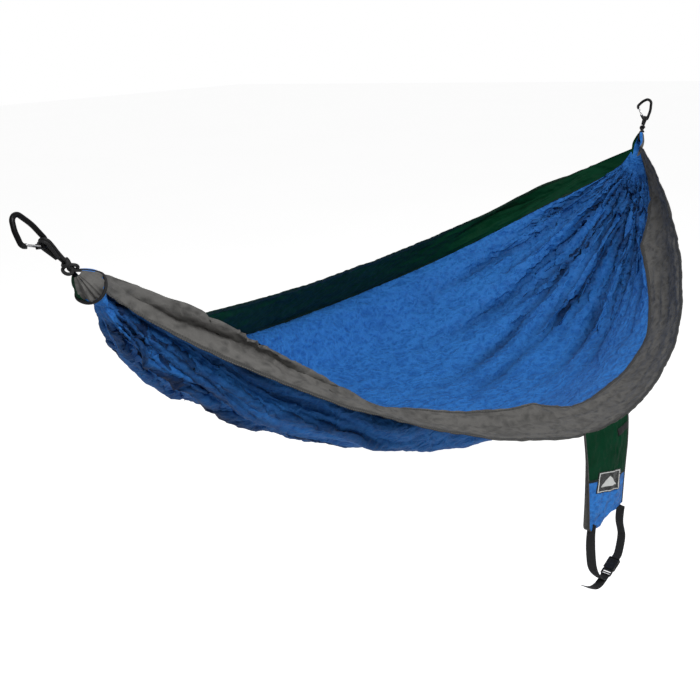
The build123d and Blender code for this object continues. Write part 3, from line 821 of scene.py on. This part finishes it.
def makeBand(name, places, material):
    normals = gridNormals(grid)
    ring = []
    proud = bandSize["proud"]
    for column, out in places:
        low = int(np.clip(round(column), 0, lastColumn))
        n = normals[:, low]
        n = (n + np.roll(n, 1, 0) + np.roll(n, -1, 0)) / 3
        ring.append(columnPlace(column) + n * out * proud)
    ring = np.array(ring).transpose(1, 0, 2)
    rows, cols = ring.shape[:2]
    lengths = runLengths(ring[:, 0])
    columnWidth = cloth["trimWidth"] / trimColumns
    middle = np.mean([p[0] for p in places])
    uvs = [(u, (p[0] - middle) * columnWidth) for u in lengths for p in places]
    obj = makeObject(name, ring.reshape(-1, 3), gridFaces(rows, cols, True), material, "hammock", uvs)
    roundOff(obj)
    return obj


def seamPlaces(column):
    half = bandSize["seamHalf"] / (cloth["trimWidth"] / trimColumns)
    return [(column - half, 0.5), (column - half * 0.5, 1.2), (column + half * 0.5, 1.2),
            (column + half, 0.5),
            (column + half, -0.5), (column + half * 0.5, -1.2), (column - half * 0.5, -1.2),
            (column - half, -0.5)]


def hemPlaces(edge, inward):
    wide = bandSize["hemWide"] / (cloth["trimWidth"] / trimColumns)
    return [(edge + inward * wide, 0.6), (edge + inward * wide * 0.6, 1.3), (edge + inward * 0.1, 1.3),
            (edge, 0.4),
            (edge, -0.4), (edge + inward * 0.1, -1.3), (edge + inward * wide * 0.6, -1.3),
            (edge + inward * wide, -0.6)]


farSeamBand = makeBand("farSeam", seamPlaces(seamFar), greenSeam)
nearSeamBand = makeBand("nearSeam", seamPlaces(seamNear), greySeam)
farHemBand = makeBand("farHem", hemPlaces(0, 1), greenSeam)
nearHemBand = makeBand("nearHem", hemPlaces(lastColumn, -1), greySeam)
print("panels made")

# gathered ends, cords and knots

# distance up the suspension line and radius of the drawn cloth, from the panels to the knot
ends = dict(pleatsRound=15, pleatDepth=0.0034, ringCount=132, cordRadius=0.00275, eyeRadius=0.0078,
            knotAt=dict(foot=0.044, head=0.034), knotScale=dict(foot=1.35, head=1.1),
            closing=dict(foot=1.0, head=0.6),
            flat=dict(foot=(0.080, 0.185), head=(0.060, 0.120)),
            foot=[(-0.020, 0.0250), (-0.013, 0.0268), (-0.005, 0.0268), (0.003, 0.0250), (0.010, 0.0212),
                  (0.017, 0.0165),
                  (0.023, 0.0120), (0.027, 0.0085)],
            head=[(-0.018, 0.0185), (-0.011, 0.0175), (-0.004, 0.0162), (0.004, 0.0142), (0.011, 0.0118),
                  (0.017, 0.0095),
                  (0.022, 0.0070)])


def endPlane(end):
    line, gather, inward = (footLine, footGather, 1) if end == "foot" else (headLine, headGather, -1)
    return line, gather, Vector((line.z * inward, 0, -line.x * inward))


def loopHeight(degrees):
    # the gather cord crosses the drawn cloth on a slant: low on the side it faces, high beside the knot
    return -0.004 - 0.016 * math.cos(math.radians(degrees - 213))


def makeGatheredEnd(end):
    line, gather, upright = endPlane(end)
    firstRow = grid[0] if end == "foot" else grid[-1]
    count = ends["ringCount"]
    places = np.linspace(0, firstRow.shape[0] - 1, count)
    mouthRing = np.stack([np.interp(places, np.arange(firstRow.shape[0]), firstRow[:, k])
                          for k in range(3)], axis=1)
    side = np.array([0.0, 1.0, 0.0])
    up, axisDir, base = np.array(upright), np.array(line), np.array(gather)
    out = mouthRing - base
    mouthTurn = np.unwrap(np.arctan2(out @ up, out @ side))
    wholeTurn = np.linspace(math.radians(25), math.radians(25 - 350), count)
    profile = ends[end]
    rows = [mouthRing]
    for index, (at, radius) in enumerate(profile):
        share = ends["closing"][end] * (index + 1) / len(profile)
        turn = mouthTurn * (1 - share) + wholeTurn * share
        pleat = np.sin(turn * ends["pleatsRound"] + 0.35 * index + 2.1 * np.sin(2 * turn)
                       + 1.3 * np.sin(5 * turn + 1))
        pleat *= ends["pleatDepth"] * (0.55 + 0.45 * np.sin(3 * turn + 2)) * (radius / 0.026)
        r = radius + pleat + 0.0016 * np.sin(5 * turn + index * 0.8) * (radius / 0.026)
        rows.append(base + axisDir * at + side * (np.cos(turn) * r)[:, None]
                    + up * (np.sin(turn) * r)[:, None])
    mouth, rest = rows[0], rows[1:]
    blendRows = [mouth * 0.66 + rest[0] * 0.34, mouth * 0.33 + rest[0] * 0.67]
    stack = np.array([mouth] + blendRows + rest)
    rowsCount, cols = stack.shape[:2]
    obj = makeObject(f"{end}GatheredEnd", stack.reshape(-1, 3), gridFaces(rowsCount, cols), blueCloth,
                     "hammock",
                     [(i * 0.01, j * 0.002) for i in range(rowsCount) for j in range(cols)])
    obj.data.materials.append(greenCloth)
    obj.data.materials.append(greyCloth)
    greenUntil = cols * seamFar / lastColumn
    greyFrom = cols * seamNear / lastColumn
    for polygon in obj.data.polygons:
        column = polygon.vertices[0] % cols
        polygon.material_index = 1 if column < greenUntil else 2 if column > greyFrom else 0
        centre = np.mean([obj.data.vertices[v].co[:] for v in polygon.vertices], axis=0) - base
        degrees = math.degrees(math.atan2(centre @ up, centre @ side)) % 360
        if end == "head":
            polygon.material_index = 1 if degrees < 88 or degrees > 330 else 2 if 152 < degrees < 260 else 0
        else:
            if 130 < degrees < 265 and centre @ axisDir > loopHeight(degrees):
                polygon.material_index = 2
            elif 265 <= degrees < 345 and centre @ axisDir > -0.020:
                polygon.material_index = 1
    roundOff(obj)
    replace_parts(obj, f"{end}_end_channel")
    print(end, "drawn cloth", sum(polygon.area for polygon in obj.data.polygons))


def local(base, x, y, xDir, yDir, zDir, z):
    return base + xDir * x + yDir * y + zDir * z


def makeEndCords(end):
    line, gather, upright = endPlane(end)
    knotAt = ends["knotAt"][end]
    side = Vector((0, 1, 0))
    radius = ends["cordRadius"]
    place = lambda x, y, z=0.0: local(gather, x, y, upright, line, side, z)
    if end == "foot":
        sling = [place(0.0029, knotAt - 0.006), place(0.004, knotAt - 0.014, 0.008)]
        for degrees in (318, 296, 270, 242, 213, 184, 156, 130, 112):
            radius2 = 0.0305 if 125 < degrees < 300 else 0.0265 if degrees < 310 else 0.020
            turn = math.radians(degrees)
            sling.append(place(math.sin(turn) * radius2, loopHeight(degrees), math.cos(turn) * radius2))
        sling += [place(0.010, knotAt - 0.020, -0.004), place(-0.0029, knotAt - 0.006)]
    else:
        sling = [place(0.0029, knotAt - 0.006), place(0.007, knotAt * 0.6), place(0.0095, knotAt * 0.2),
                 place(0.009, -0.006),
                 place(-0.009, -0.006), place(-0.0095, knotAt * 0.2), place(-0.007, knotAt * 0.6),
                 place(-0.0029, knotAt - 0.006)]
    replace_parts(makeCordTube(f"{end}GatherCord", sling, radius, "hammock"), f"{end}_gather_cord")
    rod = footRod if end == "foot" else headRod
    across = Vector(joints[f"{end}_carabiner_swing"]["axis"]).normalized()
    face = across.cross(line)
    loop = ends["eyeRadius"]
    start = (rod - gather).length
    eyePlace = lambda x, y, z=0.0: local(rod, x, y, face, line, across, z)
    toKnot = -(start - knotAt) + 0.008
    eye = [eyePlace(0.0029, toKnot, 0.001), eyePlace(0.004, toKnot * 0.55, 0.002),
           eyePlace(loop, -loop * 0.9, 0.0029),
           eyePlace(loop * 1.12, loop * 0.5, 0.0029), eyePlace(loop * 0.5, loop * 1.18, 0.0029),
           eyePlace(-loop * 0.5, loop * 1.18, 0.0029), eyePlace(-loop * 1.12, loop * 0.5, 0.0029),
           eyePlace(-loop, -loop * 0.9, 0.0029), eyePlace(-0.004, toKnot * 0.55, 0.002),
           eyePlace(-0.0029, toKnot, 0.001)]
    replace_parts(makeCordTube(f"{end}CordEye", eye, radius, "hammock"), f"{end}_cord_eye")
    second = [eyePlace(0.0022, toKnot * 0.62, -0.004), eyePlace(loop * 0.95, -loop * 0.75, -0.0034),
              eyePlace(loop * 1.12, loop * 0.5, -0.003), eyePlace(loop * 0.5, loop * 1.18, -0.003),
              eyePlace(-loop * 0.5, loop * 1.18, -0.003), eyePlace(-loop * 1.12, loop * 0.5, -0.003),
              eyePlace(-loop * 0.95, -loop * 0.75, -0.0034), eyePlace(-0.0022, toKnot * 0.62, -0.004)]
    makeCordTube(f"{end}CordEyeTurn", second, radius, "hammock")
    makeKnot(end, gather + line * knotAt, line, upright, side, radius)


def makeKnot(end, centre, line, upright, side, radius):
    points, big = [], ends["knotScale"][end]
    for step in range(25):
        a = 2 * math.pi * step / 24
        x = math.sin(a) + 1.7 * math.sin(2 * a)
        y = math.cos(a) - 1.7 * math.cos(2 * a)
        z = -math.sin(3 * a)
        points.append(centre + (line * (x * 0.0042) + upright * (y * 0.0036) + side * (z * 0.0042)) * big)
    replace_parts(makeCordTube(f"{end}CordKnot", points, radius * 1.08, "hammock", resolution=6),
                f"{end}_cord_knot")
    turn = []
    for step in range(17):
        a = 2 * math.pi * step / 16 * 1.02
        turn.append(centre + line * (0.0095 + 0.0008 * a / 6.3) + upright * (math.cos(a) * 0.0062)
                    + side * (math.sin(a) * 0.0062))
    makeCordTube(f"{end}CordKnotNeck", turn, radius, "hammock", resolution=6)


for end in ("foot", "head"):
    makeGatheredEnd(end)
    makeEndCords(end)
print("ends made")

for nodes, material in ((("foot_carabiner", "head_carabiner"), blackAlloy),
                        (("foot_wire_gate", "head_wire_gate"), brightWire),
                        (("buckle_socket", "buckle_plug", "buckle_prong_outer", "buckle_prong_inner"),
                         blackPlastic)):
    for node in nodes:
        obj = frame["nodes"][node]
        obj.data.materials.clear()
        obj.data.materials.append(material)

# storage sack and strap

sackAt = Vector(joints["sack_swing"]["pos_m"])
sackX = Vector(joints["sack_swing"]["axis"]).normalized()
sackUp = Vector((0, 0, 1))
sackOut = sackX.cross(sackUp)
sack = dict(topWidth=0.186, footWidth=0.150, height=0.236, upperLeft=0.104, upperRight=0.130, columns=56,
            rows=72,
            bulge=0.0085, hang=0.0095, gusset=0.016)


def sackPlace(x, y, z=0.0):
    return sackAt + sackX * x + sackUp * y + sackOut * z


def sackHalf(down):
    return (sack["topWidth"] + (sack["footWidth"] - sack["topWidth"]) * down / sack["height"]) / 2


def splitDown(u):
    return sack["upperLeft"] + (sack["upperRight"] - sack["upperLeft"]) * (u + 1) / 2


def footDown(u):
    # the lower edge sags at its left corner
    part = min(1.0, max(0.0, (u + 0.5) / 0.75))
    return sack["height"] - 0.002 - 0.018 * part * part * (3 - 2 * part)


splitRow = round(sack["rows"] * 0.49)
hemLine = grid[:, lastColumn]


def sackSurface(front):
    # one side of the empty sack: bellied a little, drawn in at its sewn edges, creased
    rows, cols = sack["rows"] + 1, sack["columns"] + 1
    points = np.zeros((rows, cols, 3))
    for j in range(cols):
        u = 2 * j / (cols - 1) - 1
        for i in range(rows):
            if i <= splitRow:
                down = -sack["hang"] + (splitDown(u) + sack["hang"]) * i / splitRow
            else:
                down = splitDown(u) + (footDown(u) - splitDown(u)) * (i - splitRow) / (rows - 1 - splitRow)
            v = (down + sack["hang"]) / (sack["height"] + sack["hang"])
            corner = max(0.0, v - 0.93) / 0.07
            waist = 0.004 * math.sin(math.pi * v) ** 2
            half = sackHalf(max(0.0, down)) - waist - 0.010 * corner ** 3 * abs(u) ** 6
            x = u * half
            edge = (1 - abs(u) ** 3.0)
            belly = sack["bulge"] * edge * math.sin(math.pi * min(1, 0.08 + 0.9 * v)) ** 0.6
            seed = Vector((x * 14, down * 11, 3.0 if front else 9.0))
            crease = 0.0050 * noise.noise(seed) + 0.0034 * noise.noise(Vector((x * 48 + down * 18,
                    down * 13, 5.0)))
            crease += 0.0018 * noise.noise(Vector((x * 120, down * 70, 7.0)))
            z = (belly + crease * edge + 0.0009) * (1 if front else -1) + 0.003 * math.sin(3.2 * v
                    + 1.3 * u) * v
            z += 0.0022 * (1 - v) ** 2
            if not front:
                # the back stands off the front, most at the left
                z -= sack["gusset"] * v * (0.75 - 0.25 * u)
            points[i, j] = sackPlace(x, -down, z)
    top = points[0].copy()
    target = np.stack([top[:, 0],
                       np.interp(top[:, 0], hemLine[:, 0], hemLine[:, 1]) + (-0.0022 if front else 0.0022),
                       np.interp(top[:, 0], hemLine[:, 0], hemLine[:, 2]) + 0.004], axis=1)
    for i in range(rows):
        fade = max(0.0, 1 - i / (0.62 * splitRow)) ** 1.6
        points[i] += (target - top) * fade
    return points


front = sackSurface(True)
back = sackSurface(False)


def hangFromHem(obj):
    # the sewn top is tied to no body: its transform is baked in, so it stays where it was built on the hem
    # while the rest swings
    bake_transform(obj)


def sackSheet(name, part, material, node, sewn=False):
    rows, cols = part.shape[:2]
    uvs = [(i * 0.004, j * 0.004) for i in range(rows) for j in range(cols)]
    obj = makeObject(name, part.reshape(-1, 3), gridFaces(rows, cols), material, None if sewn else "sack",
                     uvs)
    roundOff(obj)
    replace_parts(obj, node)
    if sewn:
        hangFromHem(obj)
    return obj


sackSheet("sackFrontUpper", front[:splitRow + 1], greenCloth, "sack_front_upper",
                           True)
sackSheet("sackFrontLower", front[splitRow:], blueCloth, "sack_front_lower")
backWrap = np.concatenate([front[:, :2] + np.array(sackOut) * 0.0012, back,
                           front[:, -1:] + np.array(sackOut) * 0.0012], axis=1)
sackSheet("sackBack", backWrap, greyCloth, "sack_back", True)


def sewnStrip(name, places, wide, material, body):
    line = np.array([p[:] for p, _ in places])
    across = np.array([a[:] for _, a in places])
    tangents = np.gradient(line, axis=0)
    normal = np.cross(tangents, across)
    normal /= np.linalg.norm(normal, axis=1)[:, None]
    section = [(-0.5, 0.2), (-0.42, 0.8), (0.42, 0.8), (0.5, 0.2), (0.5, -0.2), (0.42, -0.8), (-0.42, -0.8),
               (-0.5, -0.2)]
    lengths = runLengths(line)
    verts, uvs = [], []
    for at, a, n, run in zip(line, across, normal, lengths):
        for x, h in section:
            verts.append(at + a * x * wide + n * h * 0.0011)
            uvs.append((run, x * wide))
    return makeObject(name, verts, closedFaces(len(line), len(section)), material, body, uvs)


sackSeamMaterial = seamMaterial("sackSeam", (0.0022, 0.020, 0.012, 1), (0.001, 0.008, 0.005, 1),
                                (0.02, 0.03, 0.03, 1), row=0.0018)
sewnStrip("sackFrontSeam",
          [(Vector(front[splitRow, j]) + sackOut * 0.0004, sackUp) for j in range(front.shape[1])],
                      0.006, sackSeamMaterial, "sack")
for name, j in (("sackSideLeft", 0), ("sackSideRight", front.shape[1] - 1)):
    strip = sewnStrip(name, [(Vector(front[i, j]), sackX) for i in range(front.shape[0])], 0.005, greySeam,
                      None)
    hangFromHem(strip)
footPlaces = [(Vector((front[-1, j] + back[-1, j]) / 2), sackUp) for j in range(front.shape[1])]
sewnStrip("sackFootSeam", footPlaces, 0.007, greySeam, "sack")

# label and tag
label = dict(width=0.098, height=0.050, shiftX=-0.006, down=0.126, turn=-12)


def patchMaterial():
    material, tree, shader = startMaterial("wovenLabel", Roughness=0.7, Sheen_Weight=0.2,
                                           Specular_IOR_Level=0.3)
    coords = addNode(tree, "ShaderNodeTexCoord")
    parts = addNode(tree, "ShaderNodeSeparateXYZ", {0: coords.outputs["UV"]})
    x = calc(tree, "ABSOLUTE", calc(tree, "SUBTRACT", parts.outputs["X"], 0.5))
    y = calc(tree, "ABSOLUTE", calc(tree, "SUBTRACT", parts.outputs["Y"], 0.5))
    outer = calc(tree, "GREATER_THAN", calc(tree, "MAXIMUM", x, y), 0.425)
    rim = calc(tree, "LESS_THAN", calc(tree, "MAXIMUM", x, y), 0.468)
    border = calc(tree, "MULTIPLY", outer, rim)
    slope = calc(tree, "SUBTRACT", 0.76, calc(tree, "MULTIPLY", x, 1.30))
    hill = calc(tree, "MULTIPLY", calc(tree, "LESS_THAN", parts.outputs["Y"], slope),
                calc(tree, "GREATER_THAN", parts.outputs["Y"], 0.27))
    hill = calc(tree, "MULTIPLY", hill, calc(tree, "LESS_THAN", x, 0.34))
    pale = calc(tree, "ADD", border, hill, clamp=True)
    threads = placeGroup(tree, weave, {"Vector": coords.outputs["UV"], "Threads": 420.0})
    base = mixColour(tree, pale, (0.006, 0.007, 0.008, 1), (0.62, 0.63, 0.62, 1))
    tree.links.new(base, shader.inputs["Base Color"])
    bump = addNode(tree, "ShaderNodeBump", {"Strength": 0.5, "Distance": 0.0003,
                   "Height": calc(tree, "ADD", threads.outputs["Height"], pale)})
    tree.links.new(bump.outputs["Normal"], shader.inputs["Normal"])
    return material


def frontPlace(x, down):
    # a point on the front of the sack
    u = float(np.clip(x / sackHalf(max(0.0, down)), -1, 1))
    if down < splitDown(u):
        v = (down + sack["hang"]) / (splitDown(u) + sack["hang"]) * splitRow
    else:
        v = splitRow + (down - splitDown(u)) / (footDown(u) - splitDown(u)) * (sack["rows"] - splitRow)
    i = int(np.clip(v, 0, sack["rows"] - 1))
    j = int(np.clip((u + 1) / 2 * sack["columns"], 0, sack["columns"] - 1))
    a, b = v - i, (u + 1) / 2 * sack["columns"] - j
    top = front[i, j] * (1 - b) + front[i, j + 1] * b
    low = front[i + 1, j] * (1 - b) + front[i + 1, j + 1] * b
    return Vector(top * (1 - a) + low * a)


def makePatch(name, width, height, x0, y0, material, node, turn=0.0, cells=14, stand=0.0017, body="sack"):
    verts, uvs = [], []
    cols = cells + 1
    for layer in (1, 0):
        for i in range(cols):
            for j in range(cols):
                fx, fy = j / cells, i / cells
                dx, dy = (fx - 0.5) * width, (0.5 - fy) * height
                x = x0 + dx * math.cos(turn) - dy * math.sin(turn)
                y = y0 + dx * math.sin(turn) + dy * math.cos(turn)
                rise = stand * (1.0 if layer else 0.2)
                verts.append(frontPlace(x, -y) + sackOut * rise)
                uvs.append((fx, 1 - fy))
    faces = gridFaces(cols, cols)
    offset = cols * cols
    faces += [tuple(v + offset for v in f)[::-1] for f in gridFaces(cols, cols)]
    rim = list(range(cols)) + [i * cols + cells for i in range(1, cols)] + \
          [cells * cols + j for j in range(cells - 1, -1, -1)] + [i * cols for i in range(cells - 1, 0, -1)]
    for a, b in zip(rim, rim[1:] + rim[:1]):
        faces.append((b, a, a + offset, b + offset))
    obj = makeObject(name, verts, faces, material, body, uvs)
    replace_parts(obj, node)
    return obj


makePatch("sackLabel", label["width"], label["height"], label["shiftX"], -label["down"], patchMaterial(),
                  "sack_patch", turn=math.radians(label["turn"]))
darkTag = seamMaterial("darkTag", (0.02, 0.021, 0.022, 1), (0.008, 0.008, 0.009, 1), (0.16, 0.16, 0.16, 1),
                       row=0.0, pitch=0.003)
tag = makePatch("sackTag", 0.050, 0.016, sackHalf(0) - 0.031, -0.016, darkTag, "sack_tag",
                turn=math.radians(4), cells=8,
                body=None)
hangFromHem(tag)

# strap
strap = dict(width=0.022, gauge=0.0016, rise=28.0, plugBase=0.017, slip=0.0003, socket=0.034)
runX, runY = math.cos(math.radians(strap["rise"])), math.sin(math.radians(strap["rise"]))
plugAt = (0.007, -sack["height"] - 0.146)
socketEnd = (plugAt[0] + runX * (strap["plugBase"] + strap["slip"] + strap["socket"]),
             plugAt[1] + runY * (strap["plugBase"] + strap["slip"] + strap["socket"]))


def makeWebbing(name, points, body, drift=lambda part: 0.0):
    wide = strap["width"]
    line = nurbsLine([sackPlace(x, y, z) for x, y, z in points], 12)
    tangents = np.gradient(line, axis=0)
    tangents /= np.linalg.norm(tangents, axis=1)[:, None]
    lengths = runLengths(line)
    across = np.array(sackOut)
    section = [(-0.5, 0), (-0.485, 0.36), (-0.44, 0.5), (-0.22, 0.46), (0, 0.5), (0.22, 0.46), (0.44, 0.5),
               (0.485, 0.36), (0.5, 0),
               (0.485, -0.36), (0.44, -0.5), (0.22, -0.46), (0, -0.5), (-0.22, -0.46), (-0.44, -0.5),
               (-0.485, -0.36)]
    verts, uvs = [], []
    for at, tangent, run in zip(line, tangents, lengths):
        twist = drift(run / lengths[-1])
        a = across - tangent * across.dot(tangent)
        a /= np.linalg.norm(a)
        n = np.cross(tangent, a)
        a, n = a * math.cos(twist) + n * math.sin(twist), n * math.cos(twist) - a * math.sin(twist)
        for x, h in section:
            verts.append(at + a * x * wide + n * h * strap["gauge"])
            uvs.append((run, x * wide))
    return makeObject(name, verts, closedFaces(len(line), len(section)), blackWebbing, body, uvs)


shoulder = 0.010
webLeft = strap["gauge"] - sackHalf(sack["height"]) + shoulder
webRight = sackHalf(sack["height"]) - shoulder - strap["gauge"]
top = -sack["height"]
leftWeb = makeWebbing("adjustableWeb", [
    (webLeft, top + 0.020, 0.004), (webLeft, top + 0.004, 0.002), (webLeft + 0.001, top - 0.030, 0),
    (webLeft + 0.004, top - 0.066, 0),
    (webLeft + 0.013, top - 0.110, 0), (plugAt[0] - runX * 0.020, plugAt[1] - runY * 0.018 + 0.002, 0),
    (plugAt[0] - runX * 0.006, plugAt[1] - runY * 0.006, 0),
    (plugAt[0] + runX * 0.004, plugAt[1] + runY * 0.004, 0)], None,
    drift=lambda part: -0.55 * math.sin(math.pi * min(1, part * 1.15)) ** 2)
rightWeb = makeWebbing("fixedWeb", [
    (webRight, top + 0.020, 0.004), (webRight, top + 0.002, 0.002), (webRight + 0.001, top - 0.024, 0),
    (webRight + 0.010, top - 0.048, 0),
    (webRight + 0.017, top - 0.070, 0), (socketEnd[0] + runX * 0.016, socketEnd[1] + runY * 0.016, 0),
    (socketEnd[0] + runX * 0.004, socketEnd[1] + runY * 0.004, 0),
    (socketEnd[0] - runX * 0.004, socketEnd[1] - runY * 0.004, 0)], "sack")
tailStart = (plugAt[0] + runY * strap["gauge"], plugAt[1] - runX * strap["gauge"])
tail = makeWebbing("strapTail", [
    (tailStart[0], tailStart[1], 0), (tailStart[0] - runX * 0.012, tailStart[1] - runY * 0.012, 0),
    (tailStart[0] - 0.030, tailStart[1] - 0.014, 0), (tailStart[0] - 0.058, tailStart[1] - 0.011, 0),
    (tailStart[0] - 0.090, tailStart[1] + 0.010, 0)], "buckle_plug")
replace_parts(leftWeb, "adjustable_web")
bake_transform(leftWeb)
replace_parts(rightWeb, "fixed_web")
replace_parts(tail, "strap_tail")
print("sack and strap made")

# floor, light and camera

studio = dict(floorDrop=1.55, floorHalf=30.0, floorCells=8, key=125.0, fill=14.0, back=24.0, ambient=0.34,
              sweep=0.72)


def floorMaterial():
    material, tree, shader = startMaterial("paleFloor", Roughness=0.9, Specular_IOR_Level=0.1,
                                           Emission_Color=(1, 1, 1, 1))
    coords = addNode(tree, "ShaderNodeTexCoord")
    cloudy = addNode(tree, "ShaderNodeTexNoise", {"Vector": coords.outputs["Object"], "Scale": 0.6})
    base = mixColour(tree, cloudy.outputs["Fac"], (0.70, 0.70, 0.70, 1), (0.74, 0.74, 0.74, 1))
    tree.links.new(base, shader.inputs["Base Color"])
    seen = addNode(tree, "ShaderNodeLightPath")    # a white sweep to the eye, little light thrown up
    tree.links.new(calc(tree, "MULTIPLY", seen.outputs["Is Camera Ray"], studio["sweep"]),
                   shader.inputs["Emission Strength"])
    return material


def makeFloor():
    size, cells = studio["floorHalf"], studio["floorCells"]
    line = np.linspace(-size, size, cells + 1)
    verts = [(x + 1.2, y, -studio["floorDrop"]) for y in line for x in line]
    obj = makeObject("floor", verts, gridFaces(cells + 1, cells + 1), floorMaterial(), None)


def areaLight(name, at, target, size, power):
    data = bpy.data.lights.new(name, "AREA")
    data.shape = "DISK"
    data.size = size
    data.energy = power
    obj = bpy.data.objects.new(name, data)
    scene.collection.objects.link(obj)
    obj.location = at
    obj.rotation_euler = (Vector(target) - Vector(at)).to_track_quat("-Z", "Y").to_euler()


makeFloor()
middle = Vector((1.2, 0, -0.5))
areaLight("key", (-0.6, -2.6, 2.4), middle, 2.2, studio["key"])
areaLight("fill", (3.6, -2.4, 1.0), middle, 2.5, studio["fill"])
areaLight("back", (1.6, 2.8, 2.2), middle, 2.5, studio["back"])
world = bpy.data.worlds.new("studio")
scene.world = world
world.use_nodes = True
sky = world.node_tree.nodes["Background"]
sky.inputs["Color"].default_value = (1, 1, 1, 1)
seen = world.node_tree.nodes.new("ShaderNodeLightPath")
level = world.node_tree.nodes.new("ShaderNodeMapRange")
level.inputs["To Min"].default_value = studio["ambient"]
level.inputs["To Max"].default_value = 1.0
world.node_tree.links.new(seen.outputs["Is Camera Ray"], level.inputs["Value"])
world.node_tree.links.new(level.outputs["Result"], sky.inputs["Strength"])
scene.view_settings.view_transform = "Standard"

view = dict(lens=51.4, offset=(-0.991, -1.357, 0.372), right=(0.5982, -0.8003, -0.0395),
            down=(-0.2614, -0.1472, -0.9544),
            forward=(0.7575, 0.5813, -0.2960), shiftX=-0.0394, shiftY=-0.0074)
cameraData = bpy.data.cameras.new("camera")
cameraData.lens = view["lens"]
cameraData.sensor_width = 36.0
cameraData.shift_x = view["shiftX"]
cameraData.shift_y = view["shiftY"]
camera = bpy.data.objects.new("camera", cameraData)
scene.collection.objects.link(camera)
right, down, forward = (Vector(view[k]) for k in ("right", "down", "forward"))
matrix = camera.matrix_world.copy()
for row in range(3):
    matrix[row][0], matrix[row][1], matrix[row][2] = right[row], -down[row], -forward[row]
    matrix[row][3] = (footGather + Vector(view["offset"]))[row]
camera.matrix_world = matrix
scene.camera = camera
